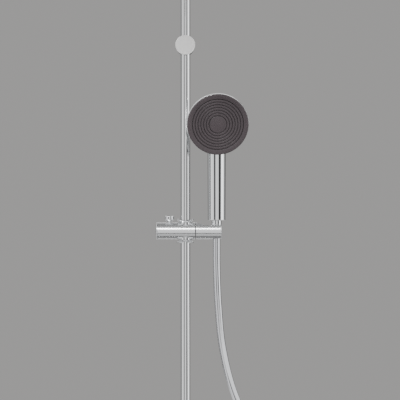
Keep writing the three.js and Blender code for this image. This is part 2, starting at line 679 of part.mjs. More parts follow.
function holderBody(group) {
  const bar = toSolid(rod("x", SLIDER_R, SLIDER_R, HOLDER_START, HOLDER_END, 28));
  const wedge = new THREE.Shape();
  wedge.moveTo(HOLDER_START - 1, SLIDER_R + 0.2);
  wedge.lineTo(HOLDER_SLOPE_END, HOLDER_TOP);
  wedge.lineTo(HOLDER_END + 5, HOLDER_TOP);
  wedge.lineTo(HOLDER_END + 5, SLIDER_R + 10);
  wedge.lineTo(HOLDER_START - 1, SLIDER_R + 10);
  wedge.closePath();
  const top = new THREE.ExtrudeGeometry(wedge, { depth: 60, bevelEnabled: false });
  top.rotateX(Math.PI / 2).translate(0, 30, 0);
  const grow = INSERT_WALL + GAP;
  const tools = [
    top,
    coneAt(INSERT_TOP_R + grow, INSERT_BOTTOM_R + grow, -SLIDER_R - 2, SLIDER_R + 2),
    block(HOLDER_X, HOLDER_END + 5, -SLOT_HALF, SLOT_HALF, -SLIDER_R - 2, SLIDER_R + 2),
    rod("x", PIVOT_R + GAP, PIVOT_R + GAP, HOLDER_START - 1, HOLDER_X - 5, 14),
    rod("x", PIVOT_HEAD_R + GAP, PIVOT_HEAD_R + GAP, PIVOT_HEAD_X - GAP, HOLDER_X - 5, 16),
  ];
  piece("holder_body", cut(bar, ...tools.map(toSolid)), "chrome", group);
}

function coneInsert(group) {
  const low = INSERT_TOP - INSERT_DEPTH;
  const topR = INSERT_TOP_R + INSERT_WALL;
  const shellOuter = toSolid(coneAt(topR, INSERT_BOTTOM_R + INSERT_WALL, low, INSERT_TOP));
  const hollow = toSolid(coneAt(INSERT_TOP_R, INSERT_BOTTOM_R, low - 2, INSERT_TOP + 2));
  const half = SLOT_HALF - GAP;
  const slot = toSolid(block(HOLDER_X, HOLDER_END + 5, -half, half, low - 2, INSERT_TOP + 2));
  piece("cone_insert", cut(shellOuter, hollow, slot), "dark", group);
}

// ---------------------------------------------------------------- cone nut and hand shower

const NUT_TOP = HANDLE_BOTTOM - GAP;
const NIPPLE_END = 3.3;

function coneNut(group) {
  const shoulder = NUT_TOP - NUT_COLLAR;
  const profile = [
    [HOSE_BORE_R, NUT_BOTTOM], [NUT_BOTTOM_R, NUT_BOTTOM], [NUT_TOP_R, INSERT_TOP], [NUT_TOP_R, shoulder],
    [NUT_COLLAR_R, shoulder + 0.4], [NUT_COLLAR_R, NUT_TOP - 0.6], [NUT_COLLAR_R - 0.6, NUT_TOP],
    [NIPPLE_R + GAP, NUT_TOP], [NIPPLE_R + GAP, 1], [HOSE_BORE_R, 1],
  ];
  piece("hose_cone_nut", turned(profile, 24), "chrome", group);
  piece("hose_washer", ring(NIPPLE_BORE_R, NIPPLE_R - 0.1, 1 + GAP, NIPPLE_END - GAP, 16), "rubber", group);
}

function handleCurve(fromZ) {
  const to = new THREE.Vector3(0, -FACE_FORWARD + 22, FACE_UP - 6);
  return new THREE.CubicBezierCurve3(
    new THREE.Vector3(0, 0, fromZ),
    new THREE.Vector3(0, 0, fromZ + 26),
    new THREE.Vector3(0, 0, FACE_UP - 26),
    to,
  );
}

function inHead(geometry) {
  const tilt = THREE.MathUtils.degToRad(90 + HEAD_TILT);
  return geometry.rotateX(tilt).translate(0, -FACE_FORWARD, FACE_UP);
}

// the face looks forward and HEAD_TILT degrees down; head profiles are [radius, height] with height
// counted forward of the face, so the back is negative
function headProfile(inset) {
  const front = -FACE_THICK - GAP;
  const back = -HEAD_DEPTH + inset;
  const rim = HEAD_R - 0.6 - inset;
  return [
    [0, back], [26 - inset, back], [44 - inset, back + 3], [54 - inset, back + 8], [rim, back + 15],
    [rim, inset > 0 ? 2 : front], [0, inset > 0 ? 2 : front],
  ];
}

function handsetShell(group) {
  const handle = toSolid(rod("z", HANDLE_R, HANDLE_TOP_R, HANDLE_BOTTOM, HANDLE_STRAIGHT, 24));
  const curve = handleCurve(HANDLE_STRAIGHT - 12);
  const neck = toSolid(swept(curve, HANDLE_TOP_R - 0.2, 0, 16, 6));
  const head = toSolid(inHead(turned(headProfile(0), 32)));
  const bore = HANDLE_R - HANDLE_SHELL;
  const tools = [
    rod("z", bore, bore, HANDLE_BOTTOM + 6, HANDLE_STRAIGHT - 2, 16),
    swept(handleCurve(HANDLE_STRAIGHT - 12), bore - 0.2, 0, 12, 6),
    inHead(turned(headProfile(2.4), 24)),
    rod("z", 8.3, 8.3, HANDLE_BOTTOM - 1, HANDLE_BOTTOM + 8, 18),
  ];
  piece("handset_shell", cut(join(handle, neck, head), ...tools.map(toSolid)), "chrome", group);
}

function faceFront() {
  const points = [[0, -0.6], [RIDGE_START - 0.6, -0.6], [RIDGE_START, -1.5]];
  for (let i = 0; i < RIDGE_COUNT; i += 1) {
    const r = RIDGE_START + i * RIDGE_PITCH;
    points.push([r + RIDGE_PITCH * 0.45, -1.5 + RIDGE_HEIGHT], [r + RIDGE_PITCH, -1.5]);
  }
  points.push([RIDGE_START + RIDGE_COUNT * RIDGE_PITCH + 1.2, -0.4], [HEAD_R - 1.2, 0], [HEAD_R, -1.2]);
  return points;
}

function sprayFace(group) {
  const inner = HEAD_R * 0.93;
  const loop = [
    ...faceFront(), [HEAD_R, -FACE_THICK], [inner, -FACE_THICK], [inner, -FACE_THICK - 2.2],
    [inner - 2.2, -FACE_THICK - 2.2], [inner - 2.2, -FACE_THICK], [0, -FACE_THICK],
  ];
  let plate = toSolid(turned(loop, 28));
  const matFront = -FACE_THICK - GAP;
  let mat = toSolid(rod("z", inner - 3, inner - 3, matFront - 1.5, matFront, 24));
  for (const [count, radius] of FACE_NOZZLES) {
    for (let i = 0; i < count; i += 1) {
      const a = (2 * Math.PI * (i + 0.5)) / count;
      const x = radius * Math.cos(a);
      const y = radius * Math.sin(a);
      const hole = rod("z", FACE_NOZZLE_R + GAP, FACE_NOZZLE_R + GAP, -FACE_THICK - 1, 2, 6);
      plate = plate.subtract(toSolid(hole.translate(x, y, 0)));
      const peg = rod("z", FACE_NOZZLE_R, FACE_NOZZLE_R * 0.8, matFront - 1, -0.2, 6);
      mat = mat.add(toSolid(peg.translate(x, y, 0)));
    }
  }
  piece("handset_spray_face", inHead(toGeometry(plate)), "dark", group);
  piece("handset_nozzle_mat", inHead(toGeometry(mat)), "rubber", group);
}

function handsetInside(group) {
  const top = HANDLE_BOTTOM + 6;
  const flange = HANDLE_R - 5;
  const nipple = turned([
    [NIPPLE_BORE_R, NIPPLE_END], [NIPPLE_R, NIPPLE_END], [NIPPLE_R, NUT_TOP + 0.15], [8, NUT_TOP + 0.4],
    [8, top + GAP], [flange, top + GAP], [flange, top + 3], [NIPPLE_BORE_R, top + 3],
  ], 20);
  piece("handset_nipple", nipple, "brass", group);
  const start = top + 3 + GAP;
  const path = new THREE.CurvePath();
  const join1 = new THREE.Vector3(0, 0, HANDLE_STRAIGHT - 12);
  path.add(new THREE.LineCurve3(new THREE.Vector3(0, 0, start), join1));
  path.add(new THREE.CubicBezierCurve3(
    join1,
    new THREE.Vector3(0, 0, HANDLE_STRAIGHT + 10),
    new THREE.Vector3(0, -2, FACE_UP - 26),
    new THREE.Vector3(0, -FACE_FORWARD + 21, FACE_UP - 8),
  ));
  piece("handset_waterway", swept(path, 6.5, 5, 8, 10), "white", group);
}

// ---------------------------------------------------------------- hose

function hose(column_, carriage) {
  const top = SLIDER_Z + NUT_BOTTOM - GAP;
  const bottom = MIXER_Z + OUTLET_BOTTOM - 2 - OUTLET_NUT;
  const points = [new THREE.Vector3(HOLDER_X, 0, top), new THREE.Vector3(HOLDER_X, 0, top - 20)];
  for (const [x, y, z] of HOSE_UPPER) points.push(new THREE.Vector3(HOLDER_X + x, -y, SLIDER_Z + z));
  for (const [x, y, z] of HOSE_LOWER) points.push(new THREE.Vector3(OUTLET_X + x, -y, MIXER_Z + z));
  points.push(new THREE.Vector3(OUTLET_X, 0, bottom - 20), new THREE.Vector3(OUTLET_X, 0, bottom));
  const curve = new THREE.CatmullRomCurve3(points, false, "centripetal");
  const body = swept(curve, HOSE_R, 0, 8, 48);
  piece("hose", body.translate(0, -WALL_DISTANCE, 0), "satin", carriage);
  const nutTop = OUTLET_BOTTOM - 2 + 12;
  const low = OUTLET_BOTTOM - 2 - OUTLET_NUT + GAP;
  const nut = turned([
    [HOSE_BORE_R, low], [9.4, low], [OUTLET_NUT_R, low + 4], [OUTLET_NUT_R, nutTop - 12.6 + 1],
    [OUTLET_R - 1, nutTop - 12.6 + 1], [OUTLET_R - 1, low + 12], [HOSE_BORE_R, low + 12],
  ], 24);
  piece("hose_mixer_nut", nut.translate(OUTLET_X, -WALL_DISTANCE, MIXER_Z), "chrome", column_);
  const washer = ring(HOSE_BORE_R, OUTLET_R - 1.4, low + 12 + GAP, OUTLET_BOTTOM - 1.2, 18);
  piece("hose_mixer_washer", washer.translate(OUTLET_X, -WALL_DISTANCE, MIXER_Z), "rubber", column_);
}

// ---------------------------------------------------------------- assembly

const bracketGroup = groupAt("upper_bracket", column, 0, 0, 0);
bracketWallPlate(bracketGroup);
bracketScrews(bracketGroup);
bracketBarrel(bracketGroup);
bracketSmallParts(bracketGroup);

const riserGroup = groupAt("riser", column, 0, 0, 0);
riser(riserGroup);

const armGroup = groupAt("overhead_arm", column, 0, 0, 0);
rainArm(riserGroup, armGroup);
const ballGroup = groupAt("ball_joint", armGroup, 0, HEAD_Y, BALL_Z);
const headGroup = groupAt("rain_head", ballGroup, 0, 0, 0);
ballJoint(ballGroup, ballGroup, headGroup);
rainHead(headGroup);

const mixerGroup = groupAt("mixer", column, 0, -WALL_DISTANCE, MIXER_Z);
mixerBody(mixerGroup);
wallUnion("hot", -INLET_X, mixerGroup);
wallUnion("cold", INLET_X, mixerGroup);
cartridge("thermostat_cartridge", 1, mixerGroup);
cartridge("flow_cartridge", -1, mixerGroup);
const temperatureGroup = groupAt("temperature_control", mixerGroup, 0, 0, 0);
const flowGroup = groupAt("flow_control", mixerGroup, 0, 0, 0);
mixerHandles(temperatureGroup, temperatureGroup, flowGroup);

const carriageGroup = groupAt("slider_carriage", column, 0, -WALL_DISTANCE, SLIDER_Z);
guideBush(carriageGroup);
const sliderGroup = groupAt("slider", carriageGroup, 0, 0, 0);
sliderHousing(sliderGroup);
collars(sliderGroup);
sliderInside(sliderGroup, sliderGroup, sliderGroup);
pivot(sliderGroup);
const holderGroup = groupAt("holder", sliderGroup, 0, 0, 0);
holderBody(holderGroup);
coneInsert(holderGroup);
const nutGroup = groupAt("hose_end", holderGroup, HOLDER_X, 0, 0);
coneNut(nutGroup);
const handsetGroup = groupAt("hand_shower", nutGroup, 0, 0, 0);
handsetGroup.rotation.z = THREE.MathUtils.degToRad(HEAD_TURN);
handsetShell(handsetGroup);
sprayFace(handsetGroup);
handsetInside(handsetGroup);

const hoseGroup = groupAt("hose_run", column, 0, 0, 0);
hose(hoseGroup, hoseGroup);

export default column;
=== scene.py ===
import math

import bmesh
import bpy
from mathutils import Matrix, Vector


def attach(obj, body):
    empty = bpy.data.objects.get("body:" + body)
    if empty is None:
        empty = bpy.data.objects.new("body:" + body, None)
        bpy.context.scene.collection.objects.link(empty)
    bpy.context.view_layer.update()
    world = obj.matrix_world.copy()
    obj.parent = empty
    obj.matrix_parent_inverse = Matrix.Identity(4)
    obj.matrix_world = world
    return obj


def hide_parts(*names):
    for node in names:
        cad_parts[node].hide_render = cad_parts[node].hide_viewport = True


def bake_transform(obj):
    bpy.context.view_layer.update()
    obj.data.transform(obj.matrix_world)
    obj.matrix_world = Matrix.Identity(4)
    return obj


bl_info = {
    "name": "Rainfall shower column",
    "version": (1, 0, 0),
    "blender": (4, 5, 0),
    "location": "3D View > Sidebar > Shower column",
    "description": "Visible surfaces of a rainfall shower column, built round its CAD frame",
    "category": "Object",
}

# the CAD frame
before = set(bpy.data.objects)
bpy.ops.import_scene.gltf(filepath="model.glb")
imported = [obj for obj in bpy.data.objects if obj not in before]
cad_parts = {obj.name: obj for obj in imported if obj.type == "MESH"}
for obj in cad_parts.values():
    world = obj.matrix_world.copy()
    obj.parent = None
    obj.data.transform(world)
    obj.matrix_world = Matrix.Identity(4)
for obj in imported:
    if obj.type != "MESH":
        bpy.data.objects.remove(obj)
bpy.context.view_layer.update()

# Metres, +Z up, the wall is the plane y = 0 and the front looks along -Y.
MM = 0.001
WALL = -62 * MM
SLIDER = Vector((0, WALL, -363 * MM))
HOLDER = Vector((61.3 * MM, WALL, -363 * MM))
MIXER = Vector((0, WALL, -1050 * MM))
OUTLET = Vector((45 * MM, WALL, -1050 * MM))
BALL = Vector((0, -430 * MM, 190 * MM))
FACE_CENTRE = Vector((0, -36 * MM, 207 * MM))
X = Vector((1, 0, 0))
Y = Vector((0, 1, 0))
Z = Vector((0, 0, 1))

# radii in millimetres
BARREL_R = 17.2
SLIDER_R = 16.5
KNOB_R = 23

# the spray face's first groove and the distance between two, in millimetres
FIRST_GROOVE = 17.3
GROOVE_STEP = 5.4

# steps round a turned shape, and the angles in degrees above which an edge stays sharp
TURNED_STEPS = 96
FINE_STEPS = 128
FINEST_STEPS = 160
SHARP = 32
CUT_SHARP = 28
WELD = 0.002 * MM

# hose route as (sideways, forward, up) in millimetres:
# first from the holder's axis, then from the mixer's outlet
HOSE_UPPER = [
    (0, 0, -14.3), (0, 0, -34.3), (0, 0, -60), (1, 1, -103), (3, 5, -142),
    (10.4, 17, -220), (28, 34, -298), (56, 44, -370),
]
HOSE_LOWER = [
    (156, 50, 110), (206, 50, -10), (222, 46, -160), (213.6, 40, -225.8), (189.5, 34, -281.6),
    (153.5, 28, -318.9), (111, 22, -332), (68.5, 16, -318.9), (32.5, 10, -281.6), (8.4, 5, -225.8),
    (0, 0, -160), (0, 0, -69), (0, 0, -49),
]
RIB_DEPTH = 0.04 * MM
# how far under the slider's axis each length of hose ends
HOSE_CUTS = (40 * MM, 170 * MM, 420 * MM)

# the stage, in metres
FLOOR = -1.46
PALE = (0.44, 0.435, 0.43)
CAMERA_PLACE = (0.0288, -5.062, -0.3023)
CAMERA_LENS = 230.0


# ------------------------------------------------------------------ settings


class ShowerSizes(bpy.types.PropertyGroup):
    """Sizes that can be changed before the pieces are made"""

    riser_radius: bpy.props.FloatProperty(
        name="Riser radius", description="Outer radius of the riser tube",
        default=9.5 * MM, unit="LENGTH", precision=4,
    )
    hose_radius: bpy.props.FloatProperty(
        name="Hose radius", description="Outer radius of the hose over its ribs",
        default=7 * MM, unit="LENGTH", precision=4,
    )
    hose_pitch: bpy.props.FloatProperty(
        name="Hose rib pitch", description="Distance between two ribs of the hose",
        default=2.3 * MM, unit="LENGTH", precision=4,
    )
    head_tilt: bpy.props.FloatProperty(
        name="Head tilt", description="How far the hand shower's face looks down",
        default=math.radians(13), subtype="ANGLE",
    )
    head_turn: bpy.props.FloatProperty(
        name="Head turn", description="How far the hand shower is turned in its holder",
        default=math.radians(4), subtype="ANGLE",
    )
    ridges: bpy.props.IntProperty(
        name="Face ridges", description="Number of round ridges on the spray face", default=6,
    )


class ShowerColours(bpy.types.PropertyGroup):
    """Colours of the finishes"""

    chrome: bpy.props.FloatVectorProperty(
        name="Chrome", description="Colour of the polished chrome",
        default=(0.80, 0.81, 0.82), subtype="COLOR", size=3,
    )
    satin: bpy.props.FloatVectorProperty(
        name="Satin metal", description="Colour of the satin caps",
        default=(0.93, 0.925, 0.915), subtype="COLOR", size=3,
    )
    face: bpy.props.FloatVectorProperty(
        name="Spray face", description="Colour of the hand shower's face",
        default=(0.066, 0.052, 0.058), subtype="COLOR", size=3,
    )
    hose: bpy.props.FloatVectorProperty(
        name="Hose", description="Colour of the hose's silver layer",
        default=(0.66, 0.665, 0.69), subtype="COLOR", size=3,
    )
    button: bpy.props.FloatVectorProperty(
        name="Stop button", description="Colour of the safety stop button",
        default=(0.52, 0.045, 0.03), subtype="COLOR", size=3,
    )


def sizes():
    return bpy.context.scene.shower_sizes


def colours():
    return bpy.context.scene.shower_colours


# ------------------------------------------------------------------ shader groups


FLOAT = "NodeSocketFloat"
COLOUR = "NodeSocketColor"


def node(tree, kind, place=(0, 0), inputs=None, **values):
    """Adds a node and sets its properties, then its inputs by name or number."""
    made = tree.nodes.new(kind)
    made.location = place
    for key, value in values.items():
        setattr(made, key, value)
    for key, value in (inputs or {}).items():
        made.inputs[key].default_value = value
    return made


def wire(tree, *links):
    """Makes a link for each (node, output, node, input)."""
    for source, output, target, entry in links:
        tree.links.new(source.outputs[output], target.inputs[entry])


def shader_group(name, inputs, outputs):
    """A node group with (name, kind, value) inputs and (name, kind) outputs, and its end nodes."""
    group = bpy.data.node_groups.new(name, "ShaderNodeTree")
    for label, kind, value in inputs:
        group.interface.new_socket(label, in_out="INPUT", socket_type=kind).default_value = value
    for label, kind in outputs:
        group.interface.new_socket(label, in_out="OUTPUT", socket_type=kind)
    return group, node(group, "NodeGroupInput", (-900, 0)), node(group, "NodeGroupOutput", (600, 0))


def water_marks_group():
    """Faint dried spots and haze: puts out a roughness and a bump height."""
    group, entry, leave = shader_group(
        "water_marks",
        [("Roughness", FLOAT, 0.08), ("Amount", FLOAT, 0.06), ("Spot Scale", FLOAT, 220.0)],
        [("Roughness", FLOAT), ("Height", FLOAT)],
    )
    place = node(group, "ShaderNodeTexCoord", (-900, -300))
    haze = node(group, "ShaderNodeTexNoise", (-650, 150), {"Scale": 38.0, "Detail": 3.0})
    spots = node(group, "ShaderNodeTexVoronoi", (-650, -200))
    edge = node(
        group, "ShaderNodeMapRange", (-420, -200),
        {"From Min": 0.05, "From Max": 0.16, "To Min": 1.0, "To Max": 0.0},
    )
    both = node(group, "ShaderNodeMath", (-180, 0), operation="MULTIPLY")
    add = node(group, "ShaderNodeMath", (40, 120), operation="MULTIPLY_ADD")
    total = node(group, "ShaderNodeMath", (260, 60), operation="MULTIPLY_ADD")
    wire(
        group,
        (place, "Object", haze, "Vector"), (place, "Object", spots, "Vector"),
        (entry, "Spot Scale", spots, "Scale"), (spots, "Distance", edge, "Value"),
        (edge, "Result", both, 0), (haze, "Fac", both, 1),
        (haze, "Fac", add, 0), (entry, "Amount", add, 1), (entry, "Roughness", add, 2),
        (both, "Value", total, 0), (entry, "Amount", total, 1), (add, "Value", total, 2),
        (total, "Value", leave, "Roughness"), (both, "Value", leave, "Height"),
    )
    return group


def grain_group():
    """Fine grain for plastics and rubber: puts out a tinted colour, a roughness and a bump height."""
    group, entry, leave = shader_group(
        "fine_grain",
        [
            ("Colour", COLOUR, (0.5, 0.5, 0.5, 1)), ("Roughness", FLOAT, 0.5),
            ("Scale", FLOAT, 900.0), ("Variation", FLOAT, 0.12),
        ],
        [("Colour", COLOUR), ("Roughness", FLOAT), ("Height", FLOAT)],
    )
    place = node(group, "ShaderNodeTexCoord", (-900, -300))
    fine = node(group, "ShaderNodeTexNoise", (-650, -150), {"Detail": 2.0})
    broad = node(group, "ShaderNodeTexNoise", (-650, 150), {"Scale": 24.0, "Detail": 4.0})
    shade = node(group, "ShaderNodeMapRange", (-400, 150), {"To Min": 0.82, "To Max": 1.18})
    tint = node(
        group, "ShaderNodeMix", (-100, 150), {"Factor": 1.0}, data_type="RGBA", blend_type="MULTIPLY",
    )
    rough = node(group, "ShaderNodeMath", (200, 0), operation="MULTIPLY_ADD")
    middle = node(group, "ShaderNodeMath", (0, -50), {1: 0.5}, operation="SUBTRACT")
    wire(
        group,
        (place, "Object", fine, "Vector"), (place, "Object", broad, "Vector"),
        (entry, "Scale", fine, "Scale"), (broad, "Fac", shade, "Value"),
        (entry, "Colour", tint, "A"), (shade, "Result", tint, "B"),
        (broad, "Fac", middle, 0), (middle, "Value", rough, 0),
        (entry, "Variation", rough, 1), (entry, "Roughness", rough, 2),
        (tint, "Result", leave, "Colour"), (rough, "Value", leave, "Roughness"),
        (fine, "Fac", leave, "Height"),
    )
    return group


def shared_group(name):
    makers = {"water_marks": water_marks_group, "fine_grain": grain_group}
    return bpy.data.node_groups.get(name) or makers[name]()


# ------------------------------------------------------------------ materials


def new_material(name, colour, metallic):
    material = bpy.data.materials.new(name)
    material.use_nodes = True
    tree = material.node_tree
    shader = tree.nodes["Principled BSDF"]
    shader.inputs["Base Color"].default_value = (*colour, 1)
    shader.inputs["Metallic"].default_value = metallic
    return material, tree, shader


def bump_from(tree, source, output, shader, strength, depth):
    """Bumps the shader's normal by one output of a node."""
    bump = node(tree, "ShaderNodeBump", (-250, -300), {"Strength": strength, "Distance": depth})
    wire(tree, (source, output, bump, "Height"), (bump, "Normal", shader, "Normal"))


def plated(name, colour, roughness, amount=0.05, spot_scale=220.0, strength=0.03):
    """A plated or bare metal with haze and dried spots."""
    material, tree, shader = new_material(name, colour, 1.0)
    marks = node(
        tree, "ShaderNodeGroup", (-600, 0),
        {"Roughness": roughness, "Amount": amount, "Spot Scale": spot_scale},
        node_tree=shared_group("water_marks"),
    )
    wire(tree, (marks, "Roughness", shader, "Roughness"))
    bump_from(tree, marks, "Height", shader, strength, 0.02 * MM)
    return material


def grained(name, colour, roughness, scale=900.0, variation=0.12, strength=0.15, coat=0.0):
    """A moulded plastic or rubber with a fine grain."""
    material, tree, shader = new_material(name, colour, 0.0)
    grain = node(
        tree, "ShaderNodeGroup", (-600, 0),
        {"Colour": (*colour, 1), "Roughness": roughness, "Scale": scale, "Variation": variation},
        node_tree=shared_group("fine_grain"),
    )
    wire(tree, (grain, "Colour", shader, "Base Color"), (grain, "Roughness", shader, "Roughness"))
    shader.inputs["Coat Weight"].default_value = coat
    shader.inputs["Coat Roughness"].default_value = 0.12
    bump_from(tree, grain, "Height", shader, strength, 0.05 * MM)
    return material


def brushed(name, colour, roughness, about, centre):
    """A turned metal face: rings of fine tool marks about one axis."""
    material, tree, shader = new_material(name, colour, 1.0)
    place = node(tree, "ShaderNodeTexCoord", (-1200, 0))
    moved = node(
        tree, "ShaderNodeMapping", (-1000, 0), {"Location": [-value for value in centre]},
        vector_type="POINT",
    )
    rings = node(
        tree, "ShaderNodeTexWave", (-750, 0),
        {"Scale": 260.0, "Distortion": 1.2, "Detail": 3.0, "Detail Scale": 6.0},
        wave_type="RINGS", rings_direction=about,
    )
    spread = node(
        tree, "ShaderNodeMapRange", (-450, 100),
        {"To Min": roughness - 0.05, "To Max": roughness + 0.07},
    )
    wire(
        tree,
        (place, "Object", moved, "Vector"), (moved, "Vector", rings, "Vector"),
        (rings, "Fac", spread, "Value"), (spread, "Result", shader, "Roughness"),
    )
    bump_from(tree, rings, "Fac", shader, 0.12, 0.02 * MM)
    return material


def finish_named(name):
    """The finish of that name, made when it is first asked for."""
    label = f"{name}_finish"
    made = bpy.data.materials.get(label)
    if made:
        return made
    tint = colours()
    # painted shade: the spray face's colour darkened for the bottoms of its grooves
    groove = tuple(c * 0.45 for c in tint.face)
    dull_face = tuple(c * 0.6 for c in tint.face)
    brass = (0.68, 0.52, 0.25)
    zinc = (0.55, 0.56, 0.58)
    makers = {
        "polished_chrome": lambda: plated(label, tint.chrome, 0.045, 0.02, 160.0, 0.012),
        "plated_plastic": lambda: plated(label, tint.chrome, 0.06, 0.05, 180.0),
        "slider_chrome": lambda: plated(label, tint.chrome, 0.16, 0.08, 260.0),
        "satin_cap": lambda: brushed(label, tint.satin, 0.42, "Y", (0, -82 * MM, 0)),
        "knob_cap": lambda: brushed(label, tint.satin, 0.3, "X", tuple(MIXER)),
        "zinc_steel": lambda: plated(label, zinc, 0.3, 0.2, 400.0, 0.2),
        "machined_brass": lambda: plated(label, brass, 0.26, 0.15, 350.0, 0.15),
        "spray_face": lambda: grained(label, tint.face, 0.38, 1400.0, 0.1, 0.10),
        # painted shade: darker finish for the groove bottoms of the spray face
        "painted_groove_shade": lambda: grained(label, groove, 0.55, 1400.0, 0.1, 0.10),
        "face_rubber": lambda: grained(label, dull_face, 0.6, 1200.0, 0.15, 0.2),
        "dark_plastic": lambda: grained(label, (0.032, 0.031, 0.034), 0.5),
        "white_plastic": lambda: grained(label, (0.78, 0.78, 0.75), 0.42),
        "black_rubber": lambda: grained(label, (0.028, 0.028, 0.03), 0.72, 700.0, 0.2, 0.3),
        "nozzle_rubber": lambda: grained(label, (0.10, 0.095, 0.10), 0.6, 1200.0, 0.15, 0.2),
        "stop_button": lambda: grained(label, tint.button, 0.28, 1000.0, 0.1, 0.08, 0.4),
    }
    return makers[name]()


def hose_finish():
    """Silver foil layer under a clear sleeve, with fine streaks along it."""
    tone = colours().hose
    material, tree, shader = new_material("hose_sleeve_finish", tone, 1.0)
    place = node(tree, "ShaderNodeUVMap", (-1200, 0), uv_map="hose_uv")
    streak = node(
        tree, "ShaderNodeMapping", (-1000, 0), {"Scale": (30.0, 400.0, 1.0)}, vector_type="POINT",
    )
    noise = node(tree, "ShaderNodeTexNoise", (-800, 0), {"Scale": 1.0, "Detail": 3.0})
    spread = node(tree, "ShaderNodeMapRange", (-500, 100), {"To Min": 0.05, "To Max": 0.11})
    tint = node(tree, "ShaderNodeMapRange", (-500, -120), {"To Min": 0.88, "To Max": 1.06})
    mixed = node(
        tree, "ShaderNodeMix", (-250, -60), {"Factor": 1.0, "A": (*tone, 1)},
        data_type="RGBA", blend_type="MULTIPLY",
    )
    wire(
        tree,
        (place, "UV", streak, "Vector"), (streak, "Vector", noise, "Vector"),
        (noise, "Fac", spread, "Value"), (noise, "Fac", tint, "Value"),
        (tint, "Result", mixed, "B"), (mixed, "Result", shader, "Base Color"),
        (spread, "Result", shader, "Roughness"),
    )
    shader.inputs["Coat Weight"].default_value = 0.4
    shader.inputs["Coat Roughness"].default_value = 0.06
    return material


# ------------------------------------------------------------------ modelling helpers


def rounded(points, steps=4):
    """A profile from (along, up, radius) corners, with each corner rounded to its radius."""
    out = []
    last = len(points) - 1
    for i, corner in enumerate(points):
        here = Vector(corner[:2])
        radius = corner[2] if len(corner) > 2 else 0
        if radius <= 0 or i in (0, last):
            out.append(here)
            continue
        to_before = Vector(points[i - 1][:2]) - here
        to_after = Vector(points[i + 1][:2]) - here
        half = to_before.angle(to_after, math.pi) / 2
        if half > math.pi / 2 - 0.01:
            out.append(here)
            continue
        reach = min(radius / math.tan(half), to_before.length * 0.49, to_after.length * 0.49)
        start = here + to_before.normalized() * reach
        end = here + to_after.normalized() * reach
        for k in range(steps + 1):
            t = k / steps
            out.append(start.lerp(here, t).lerp(here.lerp(end, t), t))
    return out


def turn_about(bm, profile, axis, centre, steps=TURNED_STEPS):
    """Spins a (radius, height) profile in millimetres right round an axis through a point."""
    side = Y if abs(axis.dot(Y)) < 0.9 else X
    made = [bm.verts.new(centre + (side * p[0] + axis * p[1]) * MM) for p in profile]
    edges = [bm.edges.new(pair) for pair in zip(made, made[1:])]
    bmesh.ops.spin(
        bm, geom=made + edges, cent=centre, axis=axis, angle=math.tau, steps=steps, use_merge=True,
    )


def closed_up(bm):
    """Merges seams and poles, and turns every face outwards."""
    bmesh.ops.remove_doubles(bm, verts=bm.verts, dist=WELD)
    bmesh.ops.dissolve_degenerate(bm, edges=bm.edges, dist=WELD / 4)
    loose = [v for v in bm.verts if not v.link_faces]
    bmesh.ops.delete(bm, geom=loose, context="VERTS")
    bmesh.ops.recalc_face_normals(bm, faces=bm.faces)


def to_object(name, bm, finishes, sharp=SHARP):
    """Makes the object from a finished bmesh, smooth except at edges sharper than the angle."""
    mesh = bpy.data.meshes.new(name)
    bm.to_mesh(mesh)
    bm.free()
    made = bpy.data.objects.new(name, mesh)
    bpy.context.scene.collection.objects.link(made)
    for finish in finishes:
        mesh.materials.append(finish)
    mesh.polygons.foreach_set("use_smooth", [True] * len(mesh.polygons))
    mesh.set_sharp_from_angle(angle=math.radians(sharp))
    return made


def place_piece(made, body, nodes=()):
    if nodes:
        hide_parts(*nodes)
    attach(made, body)
    return made


def turned_piece(name, corners, axis, centre, finish, body, nodes=(), steps=TURNED_STEPS, arc=4):
    """One whole piece spun from a rounded profile, riding on its body."""
    bm = bmesh.new()
    turn_about(bm, rounded(corners, arc), axis, centre, steps)
    closed_up(bm)
    made = to_object(name, bm, [finish_named(finish)])
    return place_piece(made, body, nodes)


def paint(nodes, finish):
    """Gives pieces that are shown as they come their finish."""
    for name in nodes:
        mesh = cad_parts[name].data
        mesh.materials.clear()
        mesh.materials.append(finish_named(finish))


def cylinder(bm, axis, centre, radius, low, high, steps=TURNED_STEPS):
    profile = [(0, low), (radius, low), (radius, high), (0, high)]
    turn_about(bm, profile, axis, centre, steps)
    closed_up(bm)


def cut_with(name, base, tools):
    """Cuts each tool's bmesh from the base bmesh and returns the result as a mesh."""
    base_object = to_object(name + "_base", base, [])
    tool_objects = []
    for index, tool in enumerate(tools):
        tool_object = to_object(f"{name}_tool_{index}", tool, [])
        tool_objects.append(tool_object)
        step = base_object.modifiers.new("cut", "BOOLEAN")
        step.operation = "DIFFERENCE"
        step.solver = "EXACT"
        step.object = tool_object
    graph = bpy.context.evaluated_depsgraph_get()
    result = bpy.data.meshes.new_from_object(base_object.evaluated_get(graph))
    for made in [base_object, *tool_objects]:
        bpy.data.objects.remove(made)
    return result


def round_normals(mesh, axis, centre, radius):
    """Sets true normals where a cut cylinder's faces lie on its round side."""
    near = 0.03 * MM

    def outward(vertex):
        offset = mesh.vertices[vertex].co - centre
        return offset - axis * offset.dot(axis)

    corner = [Vector() for _ in mesh.loops]
    for face in mesh.polygons:
        true_side = abs(face.normal.dot(axis)) < 0.2
        true_side = true_side and all(abs(outward(v).length - radius) < near for v in face.vertices)
        for loop in face.loop_indices:
            if true_side:
                corner[loop] = outward(mesh.loops[loop].vertex_index).normalized()
            else:
                corner[loop] = mesh.corner_normals[loop].vector.copy()
    mesh.normals_split_custom_set(corner)


